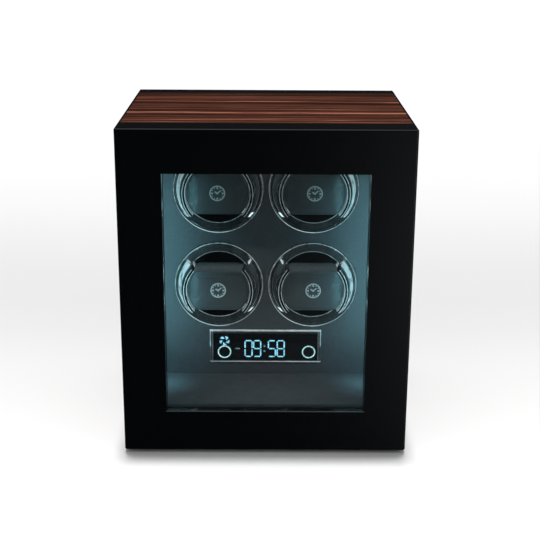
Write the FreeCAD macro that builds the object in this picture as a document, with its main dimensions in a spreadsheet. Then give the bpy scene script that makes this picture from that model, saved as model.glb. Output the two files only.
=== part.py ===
import FreeCAD, Part
import math
import os
import Sketcher

# A watch winder box for four watches: a wooden sleeve between a black rear frame and a
# glazed black door, with four motor-driven turntables behind a leatherette fascia.
#
# Frame: millimetres. X runs to the right, Y from the door towards the back, Z up. The
# origin is on the ground under the middle of the box, and Y = 0 is half its depth.

Vector = FreeCAD.Vector
doc = FreeCAD.newDocument("watch_winder_box")
sheet = doc.addObject("Spreadsheet::Sheet", "dims")

DIMENSIONS = {
    # whole box
    "width": 250.0,
    "depth": 205.0,
    "body_height": 290.0,
    "foot_height": 3.0,
    "arris": 1.0,
    # sleeve and rear frame
    "wall": 15.0,
    "rear_depth": 20.0,
    "rear_border": 24.0,
    "rear_ledge": 8.0,
    "cover_thick": 3.0,
    "cover_inset": 6.5,
    "edge_round": 1.5,
    "loose_fit": 0.2,
    # door
    "door_depth": 24.0,
    "door_gap": 1.0,
    "door_border": 38.0,
    "glass_setback": 6.0,
    "glass_thick": 4.0,
    "glass_lap": 4.0,
    "glass_play": 0.5,
    "retainer_thick": 6.0,
    "retainer_lap": 8.0,
    "stile_centre": 117.5,
    "window_bevel": 0.6,
    "magnet_end": 60.0,
    "magnet_radius": 4.0,
    "magnet_length": 5.0,
    "strike_radius": 5.0,
    "strike_thick": 1.5,
    "socket_play": 0.1,
    "bumper_end": 15.0,
    "bumper_radius": 3.5,
    "bumper_tip": 3.0,
    # hinges
    "hinge_overhang": 0.4,
    "hinge_end": 45.0,
    "hinge_length": 40.0,
    "knuckle_length": 10.0,
    "knuckle_radius": 2.2,
    "knuckle_gap": 0.2,
    "pin_radius": 1.0,
    "pin_play": 0.05,
    "leaf_width": 10.0,
    "leaf_thick": 1.2,
    "leaf_stand": 0.1,
    "groove_play": 0.5,
    "groove_reach": 2.0,
    "relief_play": 0.3,
    "pin_head_radius": 1.9,
    "pin_head_thick": 1.0,
    # countersunk screws
    "head_radius": 2.3,
    "shank_radius": 1.1,
    "screw_length": 10.0,
    "screw_play": 0.05,
    # pan head screws
    "pan_radius": 2.7,
    "pan_height": 1.8,
    "pan_shank": 1.5,
    "pan_hole": 1.55,
    "pan_engagement": 1.3,
    # interior
    "lining": 1.5,
    "fascia_front": 7.5,
    "fascia_thick": 6.0,
    "floor_top": 31.0,
    "floor_thick": 6.0,
    # turntables
    "rotor_dx": 44.4,
    "rotor_low": 122.6,
    "rotor_high": 215.9,
    "ring_radius": 41.7,
    "ring_hole": 32.5,
    "ring_front": 5.5,
    "ring_dish": 3.0,
    "ring_back": 12.5,
    "ring_lip": 1.2,
    "ring_play": 0.7,
    "ear_front": -13.5,
    "ear_inner": 29.5,
    "ear_lip": 32.6,
    "ear_root": 39.6,
    "ear_half_angle": 41.0,
    "cup_depth": 27.5,
    "cup_wall": 2.0,
    "cup_floor": 3.0,
    "flange_radius": 41.0,
    "flange_thick": 2.5,
    "rib_inner": 29.6,
    "rib_half_angle": 7.0,
    "hub_radius": 6.5,
    "hub_length": 5.5,
    "hub_play": 0.03,
    "shaft_radius": 3.0,
    "shaft_flat": 2.5,
    "shaft_length": 20.5,
    "cushion_radius": 29.2,
    "cushion_half": 19.9,
    "cushion_depth": 32.0,
    "cushion_round": 3.0,
    # drive
    "plate_front": 50.0,
    "plate_thick": 1.5,
    "plate_flange": 12.0,
    "plate_low": 75.0,
    "plate_high": 265.0,
    "gearbox_radius": 18.5,
    "gearbox_depth": 18.0,
    "gearbox_drop": 7.0,
    "can_radius": 12.2,
    "can_depth": 18.0,
    "boss_radius": 5.5,
    "boss_proud": 0.8,
    "shaft_play": 0.05,
    "motor_screw_x": 14.0,
    "motor_screw_length": 7.0,
    "plate_screw_inset": 15.0,
    "plate_screw_length": 10.0,
    "tab_x": 6.0,
    "tab_width": 2.4,
    "tab_thick": 0.6,
    "tab_length": 2.5,
    # display
    "display_z": 59.45,
    "bezel_width": 107.5,
    "bezel_height": 34.5,
    "bezel_proud": 2.0,
    "bezel_border": 3.2,
    "bezel_collar": 1.5,
    "display_glass_thick": 1.5,
    "display_glass_sunk": 0.8,
    "board_thick": 1.6,
    "bezel_bevel": 1.2,
    "pcb_extra_width": 12.0,
    "pcb_extra_height": 8.0,
    # lamps
    "lamp_y": -62.0,
    "lamp_low": 45.0,
    "lamp_high": 265.0,
    "channel_width": 8.0,
    "channel_height": 6.0,
    "channel_wall": 1.2,
    "tape_width": 5.0,
    "tape_thick": 0.5,
    "tape_end": 1.0,
    "chip_height": 1.2,
    "chip_width": 2.8,
    "chip_length": 3.6,
    "chip_end": 14.0,
    "chip_pitch": 16.0,
    "diffuser_thick": 1.2,
    # power inlet
    "jack_z": 40.0,
    "jack_barrel": 4.0,
    "jack_flange": 5.5,
    "jack_bore": 2.75,
    "jack_pin": 1.05,
    "jack_flange_thick": 2.0,
    "jack_length": 8.0,
    "jack_tail": 9.0,
    "jack_tail_depth": 4.5,
    "jack_mouth_depth": 6.0,
    "nut_radius": 6.4,
    "nut_thick": 2.5,
    # vents in the back cover
    "vent_low": 120.0,
    "vent_high": 190.0,
    "vent_length": 40.0,
    "vent_width": 3.0,
    "vent_pitch": 10.0,
    # control board
    "board_half_width": 45.0,
    "board_front": 22.0,
    "board_rear": 74.0,
    "standoff_height": 5.0,
    "standoff_radius": 2.5,
    "standoff_inset": 5.0,
    # feet
    "foot_x": 108.0,
    "foot_y": 68.0,
    "foot_radius": 8.0,
    "foot_tread": 7.2,
}


class Term:
    """A length or angle: the sheet expression that gives it, and its number."""

    def __init__(self, text, number):
        self.text = text
        self.number = number

    def join(self, sign, other, number):
        return Term(f"({self.text} {sign} {other.text})", number)

    def __add__(self, other):
        other = term(other)
        return self.join("+", other, self.number + other.number)

    def __sub__(self, other):
        other = term(other)
        return self.join("-", other, self.number - other.number)

    def __mul__(self, other):
        other = term(other)
        return self.join("*", other, self.number * other.number)

    def __truediv__(self, other):
        other = term(other)
        return self.join("/", other, self.number / other.number)

    def __radd__(self, other):
        return term(other) + self

    def __rsub__(self, other):
        return term(other) - self

    def __rmul__(self, other):
        return term(other) * self

    def __neg__(self):
        return term(0) - self


def term(value):
    if isinstance(value, Term):
        return value
    return Term(str(float(value)), float(value))


class Dims:
    """The sheet's cells, as terms that can be added, scaled and bound."""


d = Dims()
for row, (alias, value) in enumerate(DIMENSIONS.items(), start=1):
    sheet.set(f"A{row}", alias.replace("_", " "))
    sheet.set(f"B{row}", str(value))
    sheet.setAlias(f"B{row}", alias)
    setattr(d, alias, Term(f"dims.{alias}", value))
doc.recompute()

# ---------------------------------------------------------------- helpers


def bind(thing, prop, value):
    """Give a property its value, through the sheet where it depends on the sheet."""
    value = term(value)
    if "dims." in value.text:
        thing.setExpression(prop, value.text)
    else:
        holder, _, last = prop.rpartition(".")
        if holder:
            thing.setExpression(prop, value.text)
        else:
            setattr(thing, last, value.number)


def move(thing, place):
    for axis, value in zip("xyz", place):
        bind(thing, f"Placement.Base.{axis}", value)


def block(name, low, high):
    """A block between two opposite corners."""
    thing = doc.addObject("Part::Box", name)
    for prop, start, end in zip(("Length", "Width", "Height"), low, high):
        bind(thing, prop, term(end) - start)
    move(thing, low)
    return thing


def centred_block(name, x, z, width, height, y_low, y_high):
    """A block centred on (x, z), between two depths."""
    half_width, half_height = term(width) / 2, term(height) / 2
    return block(name, (x - half_width, y_low, z - half_height), (x + half_width, y_high, z + half_height))


AXIS_TURNS = {
    "+X": FreeCAD.Rotation(Vector(0, 1, 0), 90),
    "-X": FreeCAD.Rotation(Vector(0, 1, 0), -90),
    "+Y": FreeCAD.Rotation(Vector(1, 0, 0), -90),
    "-Y": FreeCAD.Rotation(Vector(1, 0, 0), 90),
    "+Z": FreeCAD.Rotation(),
}


def rod(name, axis, start, radius, length, end_radius=None):
    """A round bar from a point along an axis, tapered when it has an end radius."""
    if end_radius is None:
        thing = doc.addObject("Part::Cylinder", name)
        bind(thing, "Radius", radius)
    else:
        thing = doc.addObject("Part::Cone", name)
        bind(thing, "Radius1", radius)
        bind(thing, "Radius2", end_radius)
    bind(thing, "Height", length)
    thing.Placement = FreeCAD.Placement(Vector(), AXIS_TURNS[axis])
    move(thing, start)
    return thing


def fuse(name, parts):
    thing = doc.addObject("Part::MultiFuse", name)
    thing.Shapes = parts
    return thing


def cut(name, base, tools):
    thing = doc.addObject("Part::Cut", name)
    thing.Base = base
    thing.Tool = tools[0] if len(tools) == 1 else fuse(f"{name}_tools", tools)
    return thing


def group(name, parts):
    """Identical loose pieces kept together as separate solids."""
    thing = doc.addObject("Part::Compound", name)
    thing.Links = parts
    return thing


def new_body(name, place=(0, 0, 0)):
    body = doc.addObject("PartDesign::Body", name)
    move(body, place)
    return body


def new_sketch(body, role, offset=0):
    """A sketch on one of the body's origin planes, moved along the plane's normal."""
    sketch = body.newObject("Sketcher::SketchObject", f"{body.Name}_sketch")
    plane = next(item for item in body.Origin.OriginFeatures if item.Role == role)
    sketch.AttachmentSupport = [(plane, "")]
    sketch.MapMode = "FlatFace"
    bind(sketch, "AttachmentOffset.Base.z", offset)
    return sketch


def polygon(sketch, corners):
    """A closed outline of straight sides, each corner placed from the sketch's origin."""
    corners = [(term(x), term(y)) for x, y in corners]
    first = sketch.GeometryCount
    count = len(corners)
    for index, (x, y) in enumerate(corners):
        next_x, next_y = corners[(index + 1) % count]
        start = Vector(x.number, y.number, 0)
        end = Vector(next_x.number, next_y.number, 0)
        sketch.addGeometry(Part.LineSegment(start, end), False)
    for index in range(count):
        here, after = first + index, first + (index + 1) % count
        sketch.addConstraint(Sketcher.Constraint("Coincident", here, 2, after, 1))
    for index, (x, y) in enumerate(corners):
        for kind, value in (("DistanceX", x), ("DistanceY", y)):
            constraint = Sketcher.Constraint(kind, -1, 1, first + index, 1, value.number)
            number = sketch.addConstraint(constraint)
            if "dims." in value.text:
                sketch.setExpression(f"Constraints[{number}]", value.text)


def rectangle(sketch, x, y, width, height):
    """A rectangle centred on (x, y)."""
    half_width, half_height = term(width) / 2, term(height) / 2
    left, right = x - half_width, x + half_width
    low, high = y - half_height, y + half_height
    polygon(sketch, [(left, low), (right, low), (right, high), (left, high)])


def pad(body, sketch, length):
    feature = body.newObject("PartDesign::Pad", f"{body.Name}_pad")
    feature.Profile = sketch
    bind(feature, "Length", length)
    return feature


def pocket(body, sketch, length, backwards=False):
    feature = body.newObject("PartDesign::Pocket", f"{body.Name}_pocket")
    feature.Profile = sketch
    feature.Reversed = backwards
    bind(feature, "Length", length)
    return feature


def revolve(body, corners, half_angle=None):
    """Turn an outline of (radius, depth) corners about the body's Y axis."""
    sketch = new_sketch(body, "XY_Plane")
    polygon(sketch, corners)
    feature = body.newObject("PartDesign::Revolution", f"{body.Name}_turn")
    feature.Profile = sketch
    feature.ReferenceAxis = (sketch, ["V_Axis"])
    if half_angle is not None:
        feature.Midplane = True
        bind(feature, "Angle", 2 * half_angle)
    return feature


def soften(body, kind, feature, size, test):
    """Round or chamfer the edges of a feature that pass a test."""
    doc.recompute()
    names = [f"Edge{index}" for index, edge in enumerate(feature.Shape.Edges, start=1) if test(edge)]
    soft = body.newObject(f"PartDesign::{kind}", f"{body.Name}_{kind.lower()}")
    soft.Base = (feature, names)
    bind(soft, "Radius" if kind == "Fillet" else "Size", size)
    return soft


pieces = {}


def keep(name, thing):
    """Make an object one of the box's pieces, under its own label."""
    thing.Label = name
    pieces[name] = thing
    return thing


# ---------------------------------------------------------------- shared places

LEFT, RIGHT = -d.width / 2, d.width / 2
FRONT, REAR = -d.depth / 2, d.depth / 2
BOTTOM, TOP = d.foot_height, d.foot_height + d.body_height
MIDDLE = d.foot_height + d.body_height / 2
DOOR_REAR = FRONT + d.door_depth
SLEEVE_FRONT = DOOR_REAR + d.door_gap
SLEEVE_REAR = REAR - d.rear_depth
INNER = d.width / 2 - d.wall
INNER_LOW, INNER_HIGH = BOTTOM + d.wall, TOP - d.wall
FASCIA_REAR = d.fascia_front + d.fascia_thick

GLASS_FRONT = FRONT + d.glass_setback
GLASS_REAR = GLASS_FRONT + d.glass_thick
RETAINER_REAR = GLASS_REAR + d.retainer_thick
WINDOW_WIDTH = d.width - 2 * d.door_border
WINDOW_HEIGHT = d.body_height - 2 * d.door_border
REBATE_WIDTH = WINDOW_WIDTH + 2 * d.glass_lap + 2 * d.glass_play
REBATE_HEIGHT = WINDOW_HEIGHT + 2 * d.glass_lap + 2 * d.glass_play

COVER_REAR = REAR - d.cover_inset
COVER_FRONT = COVER_REAR - d.cover_thick

HINGE_X = LEFT - d.hinge_overhang
HINGE_Y = DOOR_REAR + d.door_gap / 2
HINGE_HEIGHTS = {"lower": BOTTOM + d.hinge_end, "upper": TOP - d.hinge_end}
LEAF_SCREW_X = HINGE_X + 0.65 * d.leaf_width
LEAF_SCREW_SPREAD = 0.3 * d.hinge_length
MAGNET_HEIGHTS = (BOTTOM + d.magnet_end, TOP - d.magnet_end)
BUMPER_HEIGHTS = (BOTTOM + d.bumper_end, TOP - d.bumper_end)

ROTORS = {
    "upper_left": (-d.rotor_dx, d.rotor_high),
    "upper_right": (d.rotor_dx, d.rotor_high),
    "lower_left": (-d.rotor_dx, d.rotor_low),
    "lower_right": (d.rotor_dx, d.rotor_low),
}


TOUCHING = 0.01


def box_outline():
    """The box seen from the front, with its four long edges taken off at 45 degrees."""
    a = d.arris
    return [
        (LEFT + a, BOTTOM),
        (RIGHT - a, BOTTOM),
        (RIGHT, BOTTOM + a),
        (RIGHT, TOP - a),
        (RIGHT - a, TOP),
        (LEFT + a, TOP),
        (LEFT, TOP - a),
        (LEFT, BOTTOM + a),
    ]


def countersunk_screw(name, axis, place, length):
    """A countersunk screw, its head flush at its start."""
    head_depth = d.head_radius - d.shank_radius
    head = rod(f"{name}_head", axis, place, d.head_radius, head_depth, d.shank_radius)
    shank = rod(f"{name}_shank", axis, place, d.shank_radius, length)
    return fuse(name, [head, shank])


def screw_seat(name, axis, place, length):
    """The hole for a countersunk screw, a little wider than the screw."""
    head_depth = d.head_radius - d.shank_radius
    mouth = d.head_radius + d.screw_play
    throat = d.shank_radius + d.screw_play
    head = rod(f"{name}_mouth", axis, place, mouth, head_depth, throat)
    shank = rod(f"{name}_throat", axis, place, throat, length + d.screw_play)
    return fuse(name, [head, shank])


def screw_set(node, places, axis, y, length=None):
    """Screws at the given (x, z) places, and seats for cutting their holes."""
    length = length or d.screw_length
    screws = []
    seats = []
    for number, (x, z) in enumerate(places):
        screws.append(countersunk_screw(f"{node}_{number}", axis, (x, y, z), length))
        seats.append(screw_seat(f"{node}_seat_{number}", axis, (x, y, z), length))
    keep(node, group(node, screws))
    return seats


# ---------------------------------------------------------------- hinges


def hinge_screw_places():
    places = []
    for height in HINGE_HEIGHTS.values():
        for side in (-1, 1):
            places.append((LEAF_SCREW_X, height + side * LEAF_SCREW_SPREAD))
    return places


def leaf_depths(side):
    """The near and far depth of a leaf: side is -1 on the door and +1 on the cabinet."""
    near = HINGE_Y + side * d.leaf_stand
    far = near + side * d.leaf_thick
    return (near, far) if side > 0 else (far, near)


def hinge_recesses(owner, side):
    """What the wood loses to each hinge: the barrel's groove and the leaf's mortise."""
    tools = []
    low, high = leaf_depths(side)
    reach = d.hinge_length / 2 + d.groove_reach
    for label, height in HINGE_HEIGHTS.items():
        groove = rod(
            f"{owner}_{label}_groove",
            "+Z",
            (HINGE_X, HINGE_Y, height - reach),
            d.knuckle_radius + d.groove_play,
            2 * reach,
        )
        half = d.hinge_length / 2 + d.loose_fit
        mortise = block(
            f"{owner}_{label}_mortise",
            (HINGE_X, low, height - half),
            (HINGE_X + d.leaf_width + d.loose_fit, high, height + half),
        )
        tools += [groove, mortise]
    return tools


def hinge_leaf(name, height, side, seats):
    """A leaf: the door's carries the middle knuckle and the cabinet's the two end ones."""
    low, high = leaf_depths(side)
    half = d.hinge_length / 2
    plate = block(
        f"{name}_plate",
        (HINGE_X, low, height - half),
        (HINGE_X + d.leaf_width, high, height + half),
    )
    inner_end = half - d.knuckle_length
    if side > 0:
        knuckles = [(-half, -inner_end), (inner_end, half)]
        reliefs = [(-inner_end, inner_end)]
    else:
        knuckles = [(-inner_end + d.knuckle_gap, inner_end - d.knuckle_gap)]
        gap = inner_end - d.knuckle_gap
        reliefs = [(-half - 1, -gap), (gap, half + 1)]
    rods = []
    for number, (start, end) in enumerate(knuckles):
        place = (HINGE_X, HINGE_Y, height + start)
        rods.append(rod(f"{name}_knuckle_{number}", "+Z", place, d.knuckle_radius, end - start))
    holes = list(seats)
    for number, (start, end) in enumerate(reliefs):
        place = (HINGE_X, HINGE_Y, height + start)
        radius = d.knuckle_radius + d.relief_play
        holes.append(rod(f"{name}_relief_{number}", "+Z", place, radius, end - start))
    relieved = cut(f"{name}_relieved", plate, holes)
    joined = fuse(f"{name}_joined", [relieved] + rods)
    bore = rod(
        f"{name}_bore",
        "+Z",
        (HINGE_X, HINGE_Y, height - half - 1),
        d.pin_radius + d.pin_play,
        d.hinge_length + 2,
    )
    return cut(name, joined, [bore])


def make_hinges(door_seats, cabinet_seats):
    door_leaves = []
    cabinet_leaves = []
    pins = []
    half = d.hinge_length / 2
    for number, (label, height) in enumerate(HINGE_HEIGHTS.items()):
        own = slice(2 * number, 2 * number + 2)
        door_leaves.append(hinge_leaf(f"door_leaf_{label}", height, -1, door_seats[own]))
        cabinet_leaves.append(hinge_leaf(f"cabinet_leaf_{label}", height, 1, cabinet_seats[own]))
        low, high = height - half, height + half
        core = rod(f"pin_{label}_core", "+Z", (HINGE_X, HINGE_Y, low), d.pin_radius, d.hinge_length)
        caps = [rod(f"pin_{label}_{end}", "+Z", (HINGE_X, HINGE_Y, z), d.pin_head_radius, d.pin_head_thick)
                for end, z in (("foot", low - d.pin_head_thick), ("head", high))]
        pins.append(fuse(f"pin_{label}", [core] + caps))
    keep("hinge_leaves_door", group("hinge_leaves_door", door_leaves))
    keep("hinge_leaves_cabinet", group("hinge_leaves_cabinet", cabinet_leaves))
    keep("hinge_pins", group("hinge_pins", pins))


# ---------------------------------------------------------------- sleeve and rear frame


def mitred_panel(name, corners):
    """One board of the sleeve, mitred to its neighbours, grain and all along the depth."""
    panel = new_body(name)
    outline = new_sketch(panel, "XZ_Plane", -SLEEVE_REAR)
    polygon(outline, corners)
    pad(panel, outline, SLEEVE_REAR - SLEEVE_FRONT)
    return panel


def make_sleeve(cabinet_seats):
    half_arris = d.arris / 2
    outer_left, outer_right = LEFT + half_arris, RIGHT - half_arris
    outer_low, outer_high = BOTTOM + half_arris, TOP - half_arris
    base = mitred_panel("base_panel", [
        (LEFT + d.arris, BOTTOM), (RIGHT - d.arris, BOTTOM), (outer_right, outer_low),
        (INNER, INNER_LOW), (-INNER, INNER_LOW), (outer_left, outer_low),
    ])
    keep("base_panel", base)
    top = mitred_panel("top_panel", [
        (LEFT + d.arris, TOP), (RIGHT - d.arris, TOP), (outer_right, outer_high),
        (INNER, INNER_HIGH), (-INNER, INNER_HIGH), (outer_left, outer_high),
    ])
    keep("top_panel", top)
    left = mitred_panel("left_board", [
        (LEFT, BOTTOM + d.arris), (outer_left, outer_low), (-INNER, INNER_LOW),
        (-INNER, INNER_HIGH), (outer_left, outer_high), (LEFT, TOP - d.arris),
    ])
    keep("left_panel", cut("left_panel", left, hinge_recesses("left_panel", 1) + cabinet_seats))
    right = mitred_panel("right_board", [
        (RIGHT, BOTTOM + d.arris), (outer_right, outer_low), (INNER, INNER_LOW),
        (INNER, INNER_HIGH), (outer_right, outer_high), (RIGHT, TOP - d.arris),
    ])
    strikes = []
    sockets = []
    for number, z in enumerate(MAGNET_HEIGHTS):
        place = (d.stile_centre, SLEEVE_FRONT, z)
        strikes.append(rod(f"strike_{number}", "+Y", place, d.strike_radius, d.strike_thick))
        sockets.append(rod(f"strike_socket_{number}", "+Y", place, d.strike_radius + d.socket_play,
                           d.strike_thick))
    keep("right_panel", cut("right_panel", right, sockets))
    keep("strike_plates", group("strike_plates", strikes))


VENT_STEPS = 4


def make_rear():
    frame = new_body("rear_board")
    outline = new_sketch(frame, "XZ_Plane", -REAR)
    polygon(outline, box_outline())
    open_width = d.width - 2 * d.rear_border
    open_height = d.body_height - 2 * d.rear_border
    rectangle(outline, 0, MIDDLE, open_width, open_height)
    pad(frame, outline, d.rear_depth)
    rebate = new_sketch(frame, "XZ_Plane", -REAR)
    cover_width = open_width + 2 * d.rear_ledge
    cover_height = open_height + 2 * d.rear_ledge
    rectangle(rebate, 0, MIDDLE, cover_width, cover_height)
    stepped = pocket(frame, rebate, d.cover_inset + d.cover_thick, backwards=True)

    def on_rear_rim(edge):
        box = edge.BoundBox
        at_rear = box.YMin > REAR.number - TOUCHING
        beyond_sides = max(abs(box.XMin), abs(box.XMax)) > INNER.number
        beyond_ends = box.ZMin < INNER_LOW.number or box.ZMax > INNER_HIGH.number
        return at_rear and (beyond_sides or beyond_ends)

    soften(frame, "Fillet", stepped, d.edge_round, on_rear_rim)

    side_x = open_width / 2 + d.rear_ledge / 2
    side_z = open_height / 2 + d.rear_ledge / 2
    places = [(x, MIDDLE + z) for x in (-side_x, side_x) for z in (-side_z, 0, side_z)]
    seats = screw_set("back_cover_screws", places, "-Y", COVER_REAR)
    keep("rear_frame", cut("rear_frame", frame, seats))

    plate = centred_block("cover_plate", term(0), MIDDLE, cover_width - 2 * d.loose_fit,
                          cover_height - 2 * d.loose_fit, COVER_FRONT, COVER_REAR)
    jack_hole = rod("cover_jack_hole", "+Y", (0, COVER_FRONT - 1, d.jack_z),
                    d.jack_barrel + d.socket_play, d.cover_thick + 2)
    slots = []
    for bank, low in enumerate((d.vent_low, d.vent_high)):
        for step in range(-VENT_STEPS, VENT_STEPS + 1):
            slots.append(centred_block(f"vent_{bank}_{step + VENT_STEPS}", step * d.vent_pitch,
                                       low + d.vent_length / 2, d.vent_width, d.vent_length,
                                       COVER_FRONT - 1, COVER_REAR + 1))
    keep("back_cover", cut("back_cover", plate, seats + [jack_hole] + slots))


# ---------------------------------------------------------------- door


def make_door(door_seats):
    slab = new_body("door_slab")
    outline = new_sketch(slab, "XZ_Plane", -DOOR_REAR)
    polygon(outline, box_outline())
    rectangle(outline, 0, MIDDLE, WINDOW_WIDTH, WINDOW_HEIGHT)
    pad(slab, outline, d.door_depth)
    glass_rebate = new_sketch(slab, "XZ_Plane", -DOOR_REAR)
    rectangle(glass_rebate, 0, MIDDLE, REBATE_WIDTH, REBATE_HEIGHT)
    pocket(slab, glass_rebate, DOOR_REAR - GLASS_FRONT, backwards=True)
    retainer_rebate = new_sketch(slab, "XZ_Plane", -DOOR_REAR)
    retainer_width = REBATE_WIDTH + 2 * d.retainer_lap
    retainer_height = REBATE_HEIGHT + 2 * d.retainer_lap
    rectangle(retainer_rebate, 0, MIDDLE, retainer_width, retainer_height)
    hollowed = pocket(slab, retainer_rebate, DOOR_REAR - GLASS_REAR, backwards=True)

    def on_front(edge):
        return edge.BoundBox.YMax < FRONT.number + TOUCHING

    def on_window(edge):
        box = edge.BoundBox
        between_sides = max(abs(box.XMin), abs(box.XMax)) < INNER.number
        between_ends = box.ZMin > INNER_LOW.number and box.ZMax < INNER_HIGH.number
        return on_front(edge) and between_sides and between_ends

    def on_outline(edge):
        return on_front(edge) and not on_window(edge)

    softened = soften(slab, "Fillet", hollowed, d.edge_round, on_outline)
    soften(slab, "Chamfer", softened, d.window_bevel, on_window)

    magnets = []
    sockets = []
    for number, z in enumerate(MAGNET_HEIGHTS):
        place = (d.stile_centre, DOOR_REAR, z)
        magnets.append(rod(f"magnet_{number}", "-Y", place, d.magnet_radius, d.magnet_length))
        sockets.append(rod(f"magnet_socket_{number}", "-Y", place, d.magnet_radius + d.socket_play,
                           d.magnet_length))
    keep("door_magnets", group("door_magnets", magnets))
    bumpers = []
    for number, z in enumerate(BUMPER_HEIGHTS):
        bumpers.append(rod(f"bumper_{number}", "+Y", (d.stile_centre, DOOR_REAR, z), d.bumper_radius,
                           d.door_gap, d.bumper_tip))
    keep("door_bumpers", group("door_bumpers", bumpers))

    side_x = (REBATE_WIDTH + d.retainer_lap) / 2
    side_z = (REBATE_HEIGHT + d.retainer_lap) / 2
    places = [(x, MIDDLE + z) for x in (-side_x, side_x) for z in (-side_z, 0, side_z)]
    places += [(term(0), MIDDLE + z) for z in (-side_z, side_z)]
    seats = screw_set("retainer_screws", places, "-Y", RETAINER_REAR)
    tools = hinge_recesses("door_frame", -1) + door_seats + sockets + seats
    keep("door_frame", cut("door_frame", slab, tools))

    keep("door_glass", centred_block("door_glass", term(0), MIDDLE, REBATE_WIDTH - 2 * d.glass_play,
                                     REBATE_HEIGHT - 2 * d.glass_play, GLASS_FRONT, GLASS_REAR))
    ring = new_body("retainer_ring")
    profile = new_sketch(ring, "XZ_Plane", -RETAINER_REAR)
    rectangle(profile, 0, MIDDLE, retainer_width - 2 * d.loose_fit, retainer_height - 2 * d.loose_fit)
    rectangle(profile, 0, MIDDLE, WINDOW_WIDTH, WINDOW_HEIGHT)
    pad(ring, profile, d.retainer_thick)
    keep("glass_retainer", cut("glass_retainer", ring, seats))


# ---------------------------------------------------------------- interior


def rotor_rods(name, radius, y, length):
    """A round bar on every turntable's axis."""
    return [rod(f"{name}_{label}", "+Y", (x, y, z), radius, length) for label, (x, z) in ROTORS.items()]


def make_interior():
    lining_front = SLEEVE_FRONT + 1
    lining_top = INNER_HIGH - d.lining
    for label, side in (("left", -1), ("right", 1)):
        near, far = side * INNER, side * (INNER - d.lining)
        low_x, high_x = (near, far) if side < 0 else (far, near)
        keep(f"side_lining_{label}", block(f"side_lining_{label}", (low_x, lining_front, d.floor_top),
                                           (high_x, d.fascia_front, lining_top)))
    keep("ceiling_lining", block("ceiling_lining", (-INNER, lining_front, lining_top),
                                 (INNER, d.fascia_front, INNER_HIGH)))

    floor = new_body("floor_board")
    profile = new_sketch(floor, "YZ_Plane", -INNER)
    underside = d.floor_top - d.floor_thick
    lip = lining_front + d.floor_thick
    polygon(profile, [
        (lining_front, INNER_LOW), (lip, INNER_LOW), (lip, underside),
        (d.fascia_front, underside), (d.fascia_front, d.floor_top), (lining_front, d.floor_top),
    ])
    pad(floor, profile, 2 * INNER)
    keep("floor_board", floor)

    board = block("fascia_blank", (-INNER, d.fascia_front, INNER_LOW), (INNER, FASCIA_REAR, INNER_HIGH))
    holes = rotor_rods("fascia_hole", d.ring_radius + d.ring_play, d.fascia_front - 1, d.fascia_thick + 2)
    slot = centred_block("fascia_slot", term(0), d.display_z,
                         d.bezel_width - 2 * d.bezel_border + 2 * d.bezel_collar + d.loose_fit,
                         d.bezel_height - 2 * d.bezel_border + 2 * d.bezel_collar + d.loose_fit,
                         d.fascia_front - 1, FASCIA_REAR + 1)
    keep("fascia_board", cut("fascia_board", board, holes + [slot]))


DISPLAY_CHIPS = (-30.0, 5.0, 30.0)


def make_display():
    inner_width = d.bezel_width - 2 * d.bezel_border
    inner_height = d.bezel_height - 2 * d.bezel_border
    front = d.fascia_front - d.bezel_proud
    bezel = new_body("display_bezel")
    flange = new_sketch(bezel, "XZ_Plane", -d.fascia_front)
    rectangle(flange, 0, d.display_z, d.bezel_width, d.bezel_height)
    rectangle(flange, 0, d.display_z, inner_width, inner_height)
    rim = pad(bezel, flange, d.bezel_proud)
    collar = new_sketch(bezel, "XZ_Plane", -FASCIA_REAR)
    rectangle(collar, 0, d.display_z, inner_width + 2 * d.bezel_collar, inner_height + 2 * d.bezel_collar)
    rectangle(collar, 0, d.display_z, inner_width, inner_height)
    rim = pad(bezel, collar, d.fascia_thick + d.bezel_proud / 2)

    def on_outer_front(edge):
        box = edge.BoundBox
        at_front = box.YMax < front.number + TOUCHING
        full_width = box.XLength > inner_width.number + TOUCHING
        at_side = max(abs(box.XMin), abs(box.XMax)) > d.bezel_width.number / 2 - TOUCHING
        return at_front and (full_width or at_side)

    soften(bezel, "Chamfer", rim, d.bezel_bevel, on_outer_front)
    keep("display_bezel", bezel)

    glass_front = front + d.display_glass_sunk
    glass_rear = glass_front + d.display_glass_thick
    fit_width, fit_height = inner_width - 2 * d.loose_fit, inner_height - 2 * d.loose_fit
    keep("display_glass", centred_block("display_glass", term(0), d.display_z, fit_width, fit_height,
                                        glass_front, glass_rear))
    keep("display_module", centred_block("display_module", term(0), d.display_z, fit_width, fit_height,
                                         glass_rear, FASCIA_REAR))
    board = centred_block("display_pcb", term(0), d.display_z, inner_width + d.pcb_extra_width,
                          inner_height + d.pcb_extra_height, FASCIA_REAR, FASCIA_REAR + d.board_thick)
    parts = [board]
    chip_y = FASCIA_REAR + d.board_thick
    for number, x in enumerate(DISPLAY_CHIPS):
        parts.append(centred_block(f"display_chip_{number}", term(x), d.display_z, 12, 10,
                                   chip_y, chip_y + 2))
    keep("display_board", fuse("display_board", parts))


LAMP_CHIPS = 13


def side_block(name, side, near, far, half_depth, low, high):
    """A block between two distances from the middle of the box, level with the lamps' depth."""
    ends = (side * near, side * far)
    low_x, high_x = ends if side > 0 else ends[::-1]
    return block(f"{name}_{side}", (low_x, d.lamp_y - half_depth, low), (high_x, d.lamp_y + half_depth, high))


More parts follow.
